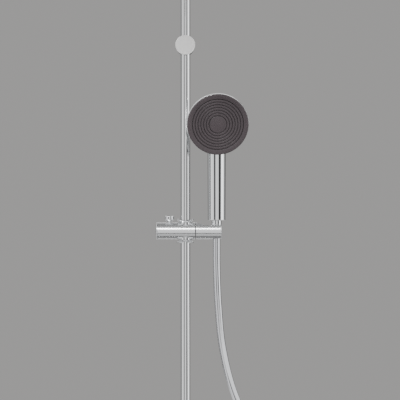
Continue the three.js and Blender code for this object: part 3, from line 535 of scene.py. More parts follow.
def cut_piece(name, base, tools, axis, centre, radius, finish, body, nodes=(), weld=0):
    """A round bar cut by the tools, with its round side's normals kept true."""
    mesh = cut_with(name, base, tools)
    mesh.name = name
    if weld:
        bm = bmesh.new()
        bm.from_mesh(mesh)
        bmesh.ops.remove_doubles(bm, verts=bm.verts, dist=weld)
        bm.to_mesh(mesh)
        bm.free()
    mesh.materials.clear()
    mesh.materials.append(finish_named(finish))
    mesh.polygons.foreach_set("use_smooth", [True] * len(mesh.polygons))
    mesh.set_sharp_from_angle(angle=math.radians(CUT_SHARP))
    round_normals(mesh, axis, centre, radius)
    made = bpy.data.objects.new(name, mesh)
    bpy.context.scene.collection.objects.link(made)
    return place_piece(made, body, nodes)


def turned_bar(profile, axis, centre, steps=FINE_STEPS):
    """A closed bmesh spun from rounded corners, to be cut afterwards."""
    bm = bmesh.new()
    turn_about(bm, rounded(profile), axis, centre, steps)
    closed_up(bm)
    return bm


def swept_pipe(rows, segments):
    """A closed bmesh pipe through (place, direction, radius) rows that bend about X."""
    bm = bmesh.new()
    ring = bmesh.ops.create_circle(bm, cap_ends=False, segments=segments, radius=1.0)["verts"]
    template = [v.co.copy() for v in ring]
    around = list(bm.edges)
    ends = [list(ring)]
    for index, (spot, head, radius) in enumerate(rows):
        if index:
            grown = bmesh.ops.extrude_edge_only(bm, edges=around)["geom"]
            ring = [g for g in grown if isinstance(g, bmesh.types.BMVert)]
            around = [g for g in grown if isinstance(g, bmesh.types.BMEdge)]
            around = [e for e in around if e.verts[0] in ring and e.verts[1] in ring]
        up = head.cross(X)
        for v, place in zip(ring, template):
            v.co = spot + (X * place.x + up * place.y) * radius
    ends.append(ring)
    for end in ends:
        bmesh.ops.contextual_create(bm, geom=end)
    return bm


# ------------------------------------------------------------------ hose


def route_points():
    """The hose's route in metres, from under the hand shower to the mixer's outlet."""
    upper = [HOLDER + Vector((x, -y, z)) * MM for x, y, z in HOSE_UPPER]
    lower = [OUTLET + Vector((x, -y, z)) * MM for x, y, z in HOSE_LOWER]
    return upper + lower


def smooth_route(points, share):
    """Centripetal curve through the points, as evenly spaced places about `share` apart."""
    ends = [points[0] * 2 - points[1], *points, points[-1] * 2 - points[-2]]
    dense = []
    for i in range(len(points) - 1):
        p0, p1, p2, p3 = ends[i:i + 4]
        gaps = [max((b - a).length ** 0.5, 1e-5) for a, b in ((p0, p1), (p1, p2), (p2, p3))]
        t1 = (p1 - p0) / gaps[0] - (p2 - p0) / (gaps[0] + gaps[1]) + (p2 - p1) / gaps[1]
        t2 = (p2 - p1) / gaps[1] - (p3 - p1) / (gaps[1] + gaps[2]) + (p3 - p2) / gaps[2]
        t1 *= gaps[1]
        t2 *= gaps[1]
        for k in range(40):
            u = k / 40
            curve = (2 * u ** 3 - 3 * u ** 2 + 1) * p1 + (u ** 3 - 2 * u ** 2 + u) * t1
            dense.append(curve + (-2 * u ** 3 + 3 * u ** 2) * p2 + (u ** 3 - u ** 2) * t2)
    dense.append(points[-1])
    return evenly(dense, share)


def evenly(places, share):
    """The same line as places an equal distance apart, close to `share`."""
    total = sum((b - a).length for a, b in zip(places, places[1:]))
    count = max(2, round(total / share))
    gap = total / count
    out = [places[0]]
    walked = 0.0
    for a, b in zip(places, places[1:]):
        length = (b - a).length
        while len(out) < count and gap * len(out) <= walked + length:
            out.append(a.lerp(b, (gap * len(out) - walked) / length))
        walked += length
    out.append(places[-1])
    return out


def frames_along(places):
    """A steady side direction for each place, carried along without twist."""
    heads = [(b - a).normalized() for a, b in zip(places, places[1:])]
    heads.append(heads[-1])
    sides = [X.copy()]
    for before, after in zip(heads, heads[1:]):
        carried = before.rotation_difference(after) @ sides[-1]
        sides.append((carried - after * carried.dot(after)).normalized())
    return heads, sides


def hose_piece(name, places, first, last, radius, pitch):
    """One ribbed length of hose: a grid wrapped along the route, closed at both ends."""
    heads, sides = frames_along(places)
    segments = 20
    rows = last - first + 1
    step = (places[1] - places[0]).length
    bm = bmesh.new()
    bm.loops.layers.uv.new("hose_uv")
    bmesh.ops.create_grid(bm, x_segments=segments, y_segments=rows - 1, size=1.0, calc_uvs=True)
    for v in bm.verts:
        index = first + round((v.co.y + 1) / 2 * (rows - 1))
        turn = math.pi * v.co.x
        rib = radius - RIB_DEPTH * (0.5 - 0.5 * math.cos(math.tau * index * step / pitch))
        third = heads[index].cross(sides[index])
        v.co = places[index] + (sides[index] * math.cos(turn) + third * math.sin(turn)) * rib
    bmesh.ops.remove_doubles(bm, verts=bm.verts, dist=0.01 * MM)
    open_edges = [e for e in bm.edges if e.is_boundary]
    bmesh.ops.holes_fill(bm, edges=open_edges, sides=0)
    bmesh.ops.recalc_face_normals(bm, faces=bm.faces)
    return to_object(name, bm, [bpy.data.materials.get("hose_sleeve_finish") or hose_finish()], 50)


class SHOWER_OT_hose(bpy.types.Operator):
    """Ribbed hose in lengths along its route from the holder to the mixer, and its two nuts"""

    bl_idname = "shower.hose"
    bl_label = "Hose"

    def execute(self, context):
        radius = sizes().hose_radius
        pitch = sizes().hose_pitch
        share = pitch / 4
        places = smooth_route(route_points(), share)
        drop = [SLIDER.z - p.z for p in places]

        def first_below(depth):
            return next(i for i, value in enumerate(drop) if value >= depth)

        cuts = [0, *[first_below(depth) for depth in HOSE_CUTS], len(places) - 1]
        names = ["hose_end_length", "hose_top_length", "hose_middle_length", "hose_long_length"]
        made = [
            hose_piece(names[i], places, cuts[i], cuts[i + 1], radius, pitch) for i in range(4)
        ]
        ends = [places[i] for i in cuts]
        riding = ("hose_end", "holder", "slider", "carriage", "column")
        bodies = list(zip(riding, riding[1:]))
        for piece, pair, start, end in zip(made, bodies, ends, ends[1:]):
            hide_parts("hose")
            if pair[1] == "column":
                down = Vector((-1, 0, -1)).normalized()
                start = start + down * 12 * MM
                end = start + down * ((places[-1] - start).dot(down) - 9 * MM)
            else:
                start, end = Vector((0, 0, start.z)), Vector((0, 0, end.z))
            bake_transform(piece)
        upper_nut, lower_nut = self.nuts()
        return {"FINISHED"}

    def nuts(self):
        """Cone nut under the hand shower and the nut on the mixer's outlet."""
        upper = turned_piece(
            "cone_nut", [
                (5, -14), (8.4, -14, 0.5), (9.2, 10.8), (9.2, 12.5, 0.2), (9.6, 12.9, 0.2),
                (9.6, 20.6, 0.4), (9.2, 21, 0.3), (6.8, 21), (6.8, 1), (5, 1), (5, -14),
            ], Z, HOLDER, "polished_chrome", "hose_end", ["hose_cone_nut"],
        )
        lower = turned_piece(
            "outlet_nut", [
                (5, -48.7), (9.4, -48.7, 0.4), (12.5, -44.3, 1.2), (12.5, -31.6, 0.8), (10, -31.6),
                (10, -36.7), (5, -36.7), (5, -48.7),
            ], Z, OUTLET, "polished_chrome", "column", ["hose_mixer_nut"],
        )
        paint(["hose_washer", "hose_mixer_washer"], "black_rubber")
        return upper, lower


# ------------------------------------------------------------------ bracket, riser and arm


class SHOWER_OT_bracket(bpy.types.Operator):
    """Upper wall bracket: plate, screws, barrel, liner and satin front cap"""

    bl_idname = "shower.bracket"
    bl_label = "Upper bracket"

    def execute(self, context):
        origin = Vector((0, 0, 0))
        forward = -Y
        profile = [(0, 0.5), (BARREL_R, 0.5, 0.5), (BARREL_R, 78.5, 0.3), (0, 78.5)]
        base = turned_bar(profile, forward, origin)
        riser_hole = bmesh.new()
        cylinder(riser_hole, Z, Vector((0, WALL, 0)), 10.9, -25, 25)
        cut_piece(
            "bracket_barrel_shell", base, [riser_hole], Y, origin, BARREL_R * MM,
            "polished_chrome", "column", ["bracket_barrel"],
        )
        turned_piece(
            "bracket_cap_disc", [
                (0, 77), (6, 77), (6, 78.8), (19.2, 78.8, 0.3), (19.2, 82.3, 0.7), (18.2, 82.3, 0.1),
                (18.1, 82.15, 0.1), (0, 82.15),
            ], forward, origin, "satin_cap", "column", ["bracket_front_cap"],
            FINE_STEPS,
        )
        turned_piece(
            "bracket_liner_sleeve", [
                (9.8, -13.1), (10.6, -13.1, 0.2), (10.6, 13.1, 0.2), (9.8, 13.1, 0.2), (9.8, -13.1),
            ], Z, Vector((0, WALL, 0)), "white_plastic", "column",
            ["bracket_riser_liner"],
        )
        paint([
            "bracket_wall_plate", "bracket_screw_left", "bracket_screw_right", "bracket_grub_screw",
        ], "zinc_steel")
        return {"FINISHED"}


class SHOWER_OT_riser(bpy.types.Operator):
    """Riser tube with its lower nut and seal"""

    bl_idname = "shower.riser"
    bl_label = "Riser"

    def execute(self, context):
        foot = Vector((0, WALL, 0))
        outer = sizes().riser_radius / MM
        turned_piece(
            "riser_pipe", [
                (outer - 1.5, -1028), (outer, -1028, 0.3), (outer, 150, 0.3), (outer - 1.5, 150, 0.3),
                (outer - 1.5, -1028),
            ], Z, foot, "polished_chrome", "column", ["riser_tube"],
        )
        turned_piece(
            "riser_foot_nut", [
                (9.9, -1017.7), (14.4, -1017.7, 0.4), (14.4, -1005.2, 1.2), (12.6, -1003.7, 0.8),
                (9.9, -1003.7, 0.3), (9.9, -1017.7),
            ], Z, foot, "polished_chrome", "column", ["riser_lower_nut"],
        )
        paint(["riser_seal", "rain_arm_seal"], "black_rubber")
        return {"FINISHED"}


class SHOWER_OT_arm(bpy.types.Operator):
    """Overhead arm with its nut on the riser"""

    bl_idname = "shower.arm"
    bl_label = "Overhead arm"

    def execute(self, context):
        outer = sizes().riser_radius
        bend = 45 * MM
        top = 260 * MM
        rows = [(Vector((0, WALL, 152.6 * MM)), Z, outer), (Vector((0, WALL, top - bend)), Z, outer)]
        for begin, centre_y in ((0, WALL - bend), (90, BALL.y + bend)):
            if begin:
                rows.append((Vector((0, centre_y, top)), -Y, outer))
            for k in range(1, 25):
                a = math.radians(begin + 90 * k / 24)
                spot = Vector((0, centre_y + bend * math.cos(a), top - bend + bend * math.sin(a)))
                rows.append((spot, Vector((0, -math.sin(a), math.cos(a))), outer))
        rows.append((Vector((0, BALL.y, 203 * MM)), -Z, outer))
        bm = swept_pipe(rows, 64)
        bmesh.ops.recalc_face_normals(bm, faces=bm.faces)
        pipe = to_object("rain_arm_pipe", bm, [finish_named("polished_chrome")], 40)
        place_piece(pipe, "arm", ["rain_arm_tube"])
        foot = Vector((0, WALL, 0))
        turned_piece(
            "rain_arm_spigot", [
                (5.8, 128), (7.6, 128, 0.3), (7.6, 153, 0.1), (5.8, 153), (5.8, 128),
            ], Z, foot, "polished_chrome", "arm", ["rain_arm_tube"],
        )
        turned_piece(
            "rain_arm_nut_ring", [
                (9.8, 136), (13, 136, 0.6), (13, 149.6, 0.3), (12.6, 150, 0.2), (13, 150.4, 0.3),
                (13, 166.6, 0.8), (11.4, 168, 0.8), (9.8, 168, 0.2), (9.8, 136),
            ], Z, foot, "polished_chrome", "column", ["rain_arm_nut"],
        )
        return {"FINISHED"}


def repeated(profile, axis, spots, steps):
    """A bmesh with one small turned shape set down at every spot."""
    single = bmesh.new()
    turn_about(single, profile, axis, Vector(), steps)
    closed_up(single)
    shape = bpy.data.meshes.new("single")
    single.to_mesh(shape)
    single.free()
    bm = bmesh.new()
    before = Vector()
    for spot in spots:
        shape.transform(Matrix.Translation(spot - before))
        before = spot
        bm.from_mesh(shape)
    bpy.data.meshes.remove(shape)
    return bm


def ring_spots(rings):
    """Places round each (radius in millimetres, count) ring, every other ring half a step on."""
    spots = []
    for index, (reach, count) in enumerate(rings):
        for i in range(count):
            a = math.tau * (i + 0.5 * (index % 2)) / count
            spots.append(Vector((math.cos(a), math.sin(a), 0)) * reach * MM)
    return spots


class SHOWER_OT_rain_head(bpy.types.Operator):
    """Ball joint, rain head shell, spray plate and its many nozzles"""

    bl_idname = "shower.rain_head"
    bl_label = "Rain head"

    def execute(self, context):
        ball = [(0, -11)]
        neck = math.acos(5 / 11)
        for i in range(1, 25):
            a = -math.pi / 2 + (i / 24) * (math.pi / 2 + neck)
            ball.append((11 * math.cos(a), 11 * math.sin(a)))
        ball += [(5, 12, 0.5), (9.1, 12, 0.3), (9.1, 12.7, 0.2), (0, 12.7)]
        turned_piece(
            "ball_joint_sphere", ball, Z, BALL, "polished_chrome", "arm",
            ["ball_joint_ball"],
        )
        turned_piece(
            "ball_joint_seat_ring", [
                (8.7, -7.5), (11.6, -7.5, 0.2), (12.2, -3.2, 0.2), (11.3, -3.2, 0.2), (8.7, -7.5),
            ], Z, BALL, "white_plastic", "ball_ring", ["ball_joint_ring"],
        )
        turned_piece(
            "ball_joint_collar", [
                (16.3, -11), (18, -11, 0.5), (18, 5.4, 1.6), (15.6, 9, 1.4), (8.3, 9, 0.3),
                (8.9, 7), (10.8, 4), (11.6, 0), (11.6, -0.4), (16.3, -0.4), (16.3, -11),
            ], Z, BALL, "polished_chrome", "rain_head", ["ball_joint_nut"],
        )
        turned_piece(
            "rain_head_cover", [
                (6.5, -10.4), (13.4, -10.4), (13.4, -2, 0.3), (16, -2, 0.4), (16, -19, 6),
                (46, -23.2, 30), (126, -24, 2.4), (130, -27.4, 2.2), (130, -38, 0.7), (128.2, -38, 0.4),
                (128.2, -28), (125, -26), (40, -25.5), (6.5, -21), (6.5, -10.4),
            ], Z, BALL, "plated_plastic", "rain_head", ["rain_head_shell"],
            FINEST_STEPS, 8,
        )
        turned_piece(
            "rain_head_plate", [
                (0, -37.6), (127.7, -37.6, 0.5), (127.7, -35.2, 0.3), (0, -35.2),
            ], Z, BALL, "knob_cap", "rain_head", ["rain_head_spray_plate"],
            FINEST_STEPS,
        )
        tip = rounded([
            (0, -36.6), (2.3, -36.6), (1.9, -37.9, 0.4), (1.1, -38.1, 0.2), (0.5, -38.1),
            (0.5, -37.4), (0, -37.4),
        ], 1)
        rings = [(16 + 16.5 * ring, 6 + 6 * ring) for ring in range(7)]
        bm = repeated(tip, Z, [BALL + spot for spot in ring_spots(rings)], 10)
        nozzles = to_object("rain_head_nozzles", bm, [finish_named("nozzle_rubber")], 50)
        place_piece(nozzles, "rain_head", ["rain_head_nozzle_mat"])
        return {"FINISHED"}


# ------------------------------------------------------------------ mixer


class SHOWER_OT_mixer(bpy.types.Operator):
    """Bar mixer: body, wall unions, escutcheons, handles and stop button"""

    bl_idname = "shower.mixer"
    bl_label = "Mixer"

    def execute(self, context):
        bm = bmesh.new()
        bar = rounded([
            (0, -98), (18, -98, 0.3), (18, -97.4), (22, -97.4, 0.9), (22, 97.4, 0.9), (18, 97.4),
            (18, 98, 0.3), (0, 98),
        ])
        turn_about(bm, bar, X, MIXER)
        boss = rounded([(0, 10), (14.4, 10), (14.4, 32, 0.6), (9.9, 32, 0.2), (9.9, 24), (0, 24)])
        turn_about(bm, boss, Z, MIXER, 80)
        foot = rounded([
            (0, -10), (12.4, -10), (12.4, -22.8, 0.6), (11, -23.4, 0.4), (11, -30, 0.5),
            (4.5, -30, 0.3), (4.5, -20), (0, -20),
        ])
        turn_about(bm, foot, Z, OUTLET, 80)
        inlet = rounded([
            (0, 10), (15.5, 10), (15.5, 21.6, 1.0), (13, 22.6, 0.3), (13, 26, 0.3), (0, 26),
        ])
        for side in (-75, 75):
            turn_about(bm, inlet, Y, MIXER + X * side * MM, 80)
        closed_up(bm)
        body = to_object("mixer_bar", bm, [finish_named("polished_chrome")])
        place_piece(body, "column", ["mixer_body"])
        for name, side in (("hot", -75), ("cold", 75)):
            centre = Vector((side * MM, 0, MIXER.z))
            turned_piece(
                f"{name}_wall_flange", [
                    (10.3, 0), (31, 0, 0.3), (31, 2.6, 1.6), (24, 8.4, 7), (14.3, 11, 1.6),
                    (10.3, 11, 0.4), (10.3, 0),
                ], -Y, centre, "polished_chrome", "column", [f"{name}_escutcheon"],
                FINE_STEPS,
            )
            self.union_nut(name, centre)
        paint([
            "hot_inlet_union", "cold_inlet_union", "thermostat_cartridge", "flow_cartridge",
        ], "machined_brass")
        paint(["hot_filter_washer", "cold_filter_washer"], "black_rubber")
        self.knobs()
        return {"FINISHED"}

    def union_nut(self, name, centre):
        """Hexagon nut with a chamfer turned on both ends."""
        bm = bmesh.new()
        low = 27.1
        high = 39.3
        corner = 30 / math.sqrt(3) * MM
        bmesh.ops.create_cone(
            bm, cap_ends=True, segments=6, radius1=corner, radius2=corner,
            depth=(high - low) * MM, matrix=Matrix.Rotation(math.pi / 2, 4, "X"),
        )
        bmesh.ops.translate(bm, verts=bm.verts, vec=centre - Y * (low + high) / 2 * MM)
        collar = turned_bar([
            (20, low - 2), (14.2, low - 2), (14.2, low - 0.01), (17.4, low + 1.7), (17.4, high - 1.7),
            (14.2, high + 0.01), (14.2, high + 2), (20, high + 2), (20, low - 2),
        ], -Y, centre, 64)
        inside = bmesh.new()
        cylinder(inside, -Y, centre, 10.3, low - 3, high + 3, 48)
        mesh = cut_with(f"{name}_nut", bm, [collar, inside])
        bm = bmesh.new()
        bm.from_mesh(mesh)
        made = to_object(f"{name}_hex_nut", bm, [finish_named("polished_chrome")], 20)
        place_piece(made, "column", [f"{name}_union_nut"])

    def knobs(self):
        """The two grooved handles with their caps, and the stop button in one of them."""
        grooves = []
        for along in (132, 135.5, 139, 142.5):
            grooves += [(KNOB_R, along, 0.2), (KNOB_R - 0.7, along + 0.7, 0.3)]
            grooves.append((KNOB_R, along + 1.4, 0.2))
        grip = [
            (5.3, 99.3), (22, 99.3, 0.6), (KNOB_R, 100.6, 0.8), *grooves, (KNOB_R, 147.6, 1.6),
            (21.4, 149.3, 0.8), (19.3, 149.3, 0.2), (19.3, 104.3), (8.5, 104.3), (8.5, 116), (0, 116),
            (0, 112.3), (5.3, 112.3), (5.3, 99.3),
        ]
        cap = [(0, 145.3), (19, 145.3), (19, 149.6, 0.6), (17.5, 150.3, 1.6), (0, 150.3)]
        for body, axis in (("temperature", X), ("flow", -X)):
            turned_piece(
                f"{body}_grip", grip, axis, MIXER, "plated_plastic", body,
                [f"{body}_handle"],
            )
            turned_piece(
                f"{body}_grip_cap", cap, axis, MIXER, "knob_cap", body,
                [f"{body}_handle_cap"],
            )
        spot = MIXER + X * 122 * MM
        turned_piece(
            "stop_button_bezel", [
                (4.3, 19), (6.2, 19), (6.2, 23.6, 0.4), (4.3, 23.6, 0.3), (4.3, 19),
            ], Z, spot, "plated_plastic", "temperature", ["temperature_handle"],
            48,
        )
        turned_piece(
            "stop_button_tip", [
                (0, 16), (5.2, 16), (5.2, 18), (4, 18), (4, 25.2, 0.9), (0, 25.5),
            ], Z, spot, "stop_button", "stop_button", ["temperature_stop_button"],
            48,
        )
        paint(["stop_button_spring"], "zinc_steel")


# ------------------------------------------------------------------ slider


class SHOWER_OT_slider(bpy.types.Operator):
    """Slider housing with its collars, end cap, release button, brake and guide bush"""

    bl_idname = "shower.slider"
    bl_label = "Slider"

    def execute(self, context):
        profile = [(0, -54), (SLIDER_R, -54, 0.35), (SLIDER_R, 19.4, 0.35), (0, 19.4)]
        base = turned_bar(profile, X, SLIDER)
        riser_hole = bmesh.new()
        cylinder(riser_hole, Z, SLIDER, 11.2, -25, 25)
        brake_hole = bmesh.new()
        cylinder(brake_hole, X, SLIDER, 9, -60, -5, 64)
        stem_hole = bmesh.new()
        button = SLIDER - X * 31 * MM
        cylinder(stem_hole, Z, button, 3.3, 3, 25, 32)
        cut_piece(
            "slider_body", base, [riser_hole, brake_hole, stem_hole], X, SLIDER, SLIDER_R * MM,
            "slider_chrome", "slider", ["slider_housing"],
        )
        for name, up in (("upper", Z), ("lower", -Z)):
            self.collar(name, up)
        turned_piece(
            "slider_end_disc", [
                (0, 48.3), (8.7, 48.3), (8.7, 54.3), (SLIDER_R, 54.3, 0.35), (SLIDER_R, 56, 1.3),
                (14.6, 57.2, 5), (0, 57.8),
            ], -X, SLIDER, "slider_chrome", "slider", ["slider_end_cap"],
            FINE_STEPS, 6,
        )
        turned_piece(
            "release_knob", [
                (0, 3.3), (1.5, 3.3), (3, 5.3), (3, 18.8, 0.1), (5.6, 18.8, 0.5), (9, 22.2, 1.2),
                (8.6, 28.9, 1.3), (7.6, 29.7, 0.9), (0, 29.7),
            ], Z, button, "plated_plastic", "release", ["release_button"], arc=6,
        )
        turned_piece(
            "guide_bush_sleeve", [
                (9.8, -11.6), (10.9, -11.6, 0.2), (10.9, 11.6, 0.2), (9.8, 11.6, 0.2), (9.8, -11.6),
            ], Z, SLIDER, "white_plastic", "carriage", ["guide_bush"],
        )
        turned_piece(
            "friction_disc", [
                (3.3, 19.7), (15.3, 19.7, 0.15), (15.3, 20.7, 0.15), (3.3, 20.7, 0.15), (3.3, 19.7),
            ], X, SLIDER, "black_rubber", "slider", ["friction_washer"],
        )
        paint(["brake_shoe"], "dark_plastic")
        paint(["brake_spring", "pivot_bolt"], "zinc_steel")
        return {"FINISHED"}

    def collar(self, name, up):
        """Flared collar whose outer edge is cut to the housing's round back."""
        base = turned_bar([
            (9.8, 11.9), (10.9, 11.9), (10.9, 16.8), (12.6, 18.3, 1.5), (14.7, 20, 1.5),
            (16.4, 21.8, 1.5), (16.5, 23.5, 0.3), (15.4, 23.5, 0.3), (13.4, 21, 1.5),
            (11.2, 19.2, 1.2), (9.8, 18, 0.3), (9.8, 11.9),
        ], up, SLIDER, TURNED_STEPS)
        ring = [(24.2, -30), (40, -30), (40, 30), (24.2, 30), (24.2, -30)]
        outside = turned_bar(ring, X, SLIDER)
        mesh = cut_with(f"collar_{name}", base, [outside])
        bm = bmesh.new()
        bm.from_mesh(mesh)
        made = to_object(f"riser_collar_{name}", bm, [finish_named("plated_plastic")], 40)
        place_piece(made, "slider", [f"collar_{name}"])


class SHOWER_OT_holder(bpy.types.Operator):
    """Pivoting holder with its cone insert"""

    bl_idname = "shower.holder"
    bl_label = "Holder"

    def execute(self, context):
        profile = [(0, 21), (SLIDER_R, 21, 0.35), (SLIDER_R, 71, 0.9), (0, 71)]
        base = turned_bar(profile, X, SLIDER)
        top = bmesh.new()
        outline = [(19, 17.2), (38.5, 11.2), (80, 11.2), (80, 30), (19, 30)]
        corners = [top.verts.new(SLIDER + Vector((x, 30, z)) * MM) for x, z in outline]
        face = top.faces.new(corners)
        grown = bmesh.ops.extrude_face_region(top, geom=[face])["geom"]
        moved = [g for g in grown if isinstance(g, bmesh.types.BMVert)]
        bmesh.ops.translate(top, verts=moved, vec=Vector((0, -60, 0)) * MM)
        bmesh.ops.recalc_face_normals(top, faces=top.faces)
        # the cone widens by 0.8 over 24.4, and is 10.7 in radius at 10.8 up
        reach = [10.7 + 0.8 / 24.4 * (z - 10.8) for z in (-20, 20)]
        cone = turned_bar([(0, -20), (reach[0], -20), (reach[1], 20), (0, 20)], Z, HOLDER, TURNED_STEPS)
        slot = bmesh.new()
        bmesh.ops.create_cube(slot, size=1.0)
        bmesh.ops.scale(slot, verts=slot.verts, vec=Vector((20, 15.6, 50)) * MM)
        bmesh.ops.translate(slot, verts=slot.verts, vec=HOLDER + X * 10 * MM)
        bolt = bmesh.new()
        cylinder(bolt, X, SLIDER, 5.3, 19, 56, 48)
        cut_piece(
            "holder_shell", base, [top, cone, slot, bolt], X, SLIDER, SLIDER_R * MM,
            "slider_chrome", "holder", ["holder_body"], 0.004 * MM,
        )
        paint(["cone_insert"], "dark_plastic")
        return {"FINISHED"}


# ------------------------------------------------------------------ hand shower


def handset_turn():
    """From the holder's frame to the row frame."""
    return Matrix.Translation(HOLDER) @ Matrix.Rotation(sizes().head_turn, 4, "Z")


def handset_matrix():
    """From the head's own frame, height along its face normal, to the row frame."""
    facing = Matrix.Rotation(math.pi / 2 + sizes().head_tilt, 4, "X")
    return handset_turn() @ Matrix.Translation(FACE_CENTRE) @ facing


class SHOWER_OT_hand_shower(bpy.types.Operator):
    """Hand shower: handle and head shell, ringed spray face, nozzles and inner parts"""

    bl_idname = "shower.hand_shower"
    bl_label = "Hand shower"

    def execute(self, context):
        self.handle()
        self.head()
        self.face()
        paint(["handset_nipple"], "machined_brass")
        paint(["handset_waterway"], "white_plastic")
        return {"FINISHED"}

    def handle(self):
        """Straight handle that leans into the head, closed at the foot round its nipple."""
        foot = rounded([(8.3, 27), (8.3, 21.3, 0.2), (17, 21.3, 0.7), (17.02, 24)], 5)
        rows = [(Vector((0, 0, p.y)), Z, p.x) for p in foot]
        straight = 138
        for k in range(1, 13):
            z = 24 + (straight - 24) * k / 12
            rows.append((Vector((0, 0, z)), Z, 17 + 0.6 * (z - 21.3) / 128.7))
        corners = [Vector(p) for p in ((0, 0, straight), (0, 0, 164), (0, 0, 181), (0, -14, 201))]
        for k in range(1, 21):
            u = k / 20
            a = [p.lerp(q, u) for p, q in zip(corners, corners[1:])]
            b = [p.lerp(q, u) for p, q in zip(a, a[1:])]
            rows.append((b[0].lerp(b[1], u), (b[1] - b[0]).normalized(), 17.55 + 1.5 * u * u))
        bm = swept_pipe([(spot * MM, head, radius * MM) for spot, head, radius in rows], 96)
        bmesh.ops.transform(bm, matrix=handset_turn(), verts=bm.verts)
        bmesh.ops.recalc_face_normals(bm, faces=bm.faces)
        made = to_object("hand_shower_handle", bm, [finish_named("polished_chrome")])
        place_piece(made, "hand_shower", ["handset_shell"])

    def head(self):
        """Round shell behind the face."""
        bm = bmesh.new()
        profile = rounded([
            (0, -23), (26, -23, 8), (44, -20, 12), (55, -16, 8), (60.5, -8.5, 5), (60.3, -3.3, 0.3),
            (57, -3.3), (57, -7), (0, -7),
        ], 8)
        turn_about(bm, profile, Z, Vector(), FINEST_STEPS)
        closed_up(bm)
        bmesh.ops.transform(bm, matrix=handset_matrix(), verts=bm.verts)
        made = to_object("hand_shower_head", bm, [finish_named("polished_chrome")])
        place_piece(made, "hand_shower", ["handset_shell"])

    def face(self):
        """Face with round grooves, each with small nozzle tips in it, and painted shade on the groove
        bottoms.
        """
        outline = [(0, -0.6), (FIRST_GROOVE - 1.1, -0.6, 0.6), (FIRST_GROOVE, -1.7, 0.15)]
        count = sizes().ridges
        grooves = [FIRST_GROOVE + i * GROOVE_STEP for i in range(count + 1)]
        for r, following in zip(grooves, grooves[1:]):
            outline += [(r + 1.1, -0.62, 0.7), (r + 4.3, -0.62, 0.7), (following, -1.7, 0.15)]
        outline += [
            (grooves[-1] + 1.2, -0.4, 0.5), (58.6, 0, 0.8), (60, -1.4, 0.8), (60, -3, 0.2),
            (57.5, -3.2), (0, -3.2),
        ]
        bm = bmesh.new()
        turn_about(bm, rounded(outline, 3), Z, Vector(), FINEST_STEPS)
        closed_up(bm)
        # painted shade: faces at the bottom of each groove get the darker groove finish
        for face in bm.faces:
            groove_shade_mask = face.calc_center_median().z < -0.95 * MM
            face.material_index = int(groove_shade_mask and face.normal.z > 0.3)
        bmesh.ops.transform(bm, matrix=handset_matrix(), verts=bm.verts)
        finishes = [finish_named("spray_face"), finish_named("painted_groove_shade")]
        made = to_object("hand_shower_face", bm, finishes, 50)
        place_piece(made, "hand_shower", ["handset_spray_face"])
        tip = rounded([(0, -2), (0.8, -2), (0.7, -1.05, 0.2), (0.3, -1.0), (0.3, -1.3), (0, -1.3)], 1)
        rings = [(grooves[i], 14 + 5 * i) for i in range(count)]
        bm = repeated(tip, Z, ring_spots(rings), 8)
        bmesh.ops.transform(bm, matrix=handset_matrix(), verts=bm.verts)
        made = to_object("hand_shower_nozzles", bm, [finish_named("face_rubber")], 50)
        place_piece(made, "hand_shower", ["handset_nozzle_mat"])


# ------------------------------------------------------------------ stage


def soft_light(name, place, aim, width, height, power):
    """A white rectangular light turned towards a point."""
    data = bpy.data.lights.new(name, "AREA")
    data.shape = "RECTANGLE"
    data.size = width
    data.size_y = height
    data.energy = power
    made = bpy.data.objects.new(name, data)
    bpy.context.scene.collection.objects.link(made)
    made.location = place
    made.rotation_euler = (Vector(aim) - Vector(place)).to_track_quat("-Z", "Y").to_euler()


def stage_sheet(name, corners, colour, roughness=0.8):
    """A flat sheet of the stage with a slightly uneven sheen."""
    bm = bmesh.new()
    bm.faces.new([bm.verts.new(Vector(c)) for c in corners])
    material, tree, shader = new_material(name + "_paint", colour, 0.0)
    place = node(tree, "ShaderNodeTexCoord", (-800, 0))
    noise = node(tree, "ShaderNodeTexNoise", (-600, 0), {"Scale": 3.0})
    spread = node(
        tree, "ShaderNodeMapRange", (-350, 0), {"To Min": roughness - 0.04, "To Max": roughness + 0.04},
    )
    wire(
        tree,
        (place, "Object", noise, "Vector"), (noise, "Fac", spread, "Value"),
        (spread, "Result", shader, "Roughness"),
    )
    made = to_object(name, bm, [material])
    return made


# softboxes and dark flags round the studio: (degrees round from the front, brightness)
STUDIO_BANDS = (
    (-180, 0.12), (-136, 0.20), (-124, 0.75), (-108, 0.75), (-101, 0.04), (-86, 0.04), (-80, 1.50),
    (-40, 1.25), (-33, 0.10), (-17, 0.10), (-11, 1.30), (22, 1.20), (29, 0.05), (56, 0.05),
    (63, 2.60), (100, 2.40), (108, 0.45), (130, 0.40), (138, 0.05), (180, 0.12),
)
# brightness from straight below to straight above: (height of the direction, brightness)
STUDIO_HEIGHTS = (
    (-1.0, 0.25), (-0.93, 0.30), (-0.86, 1.00), (-0.76, 1.10), (-0.68, 0.30), (-0.50, 0.30),
    (-0.40, 1.20), (-0.20, 1.20), (0.0, 0.80), (0.22, 0.90), (0.34, 1.80), (0.52, 1.50),
    (0.66, 0.55), (0.90, 0.35), (1.0, 0.35),
)


def light_ramp(tree, place, stops):
    """A grey ramp with the given (position, brightness) stops."""
    made = node(tree, "ShaderNodeValToRGB", place)
    ramp = made.color_ramp
    while len(ramp.elements) < len(stops):
        ramp.elements.new(0.5)
    for stop, (position, light) in zip(ramp.elements, stops):
        stop.position = position
        stop.color = (light, light, light, 1)
    return made


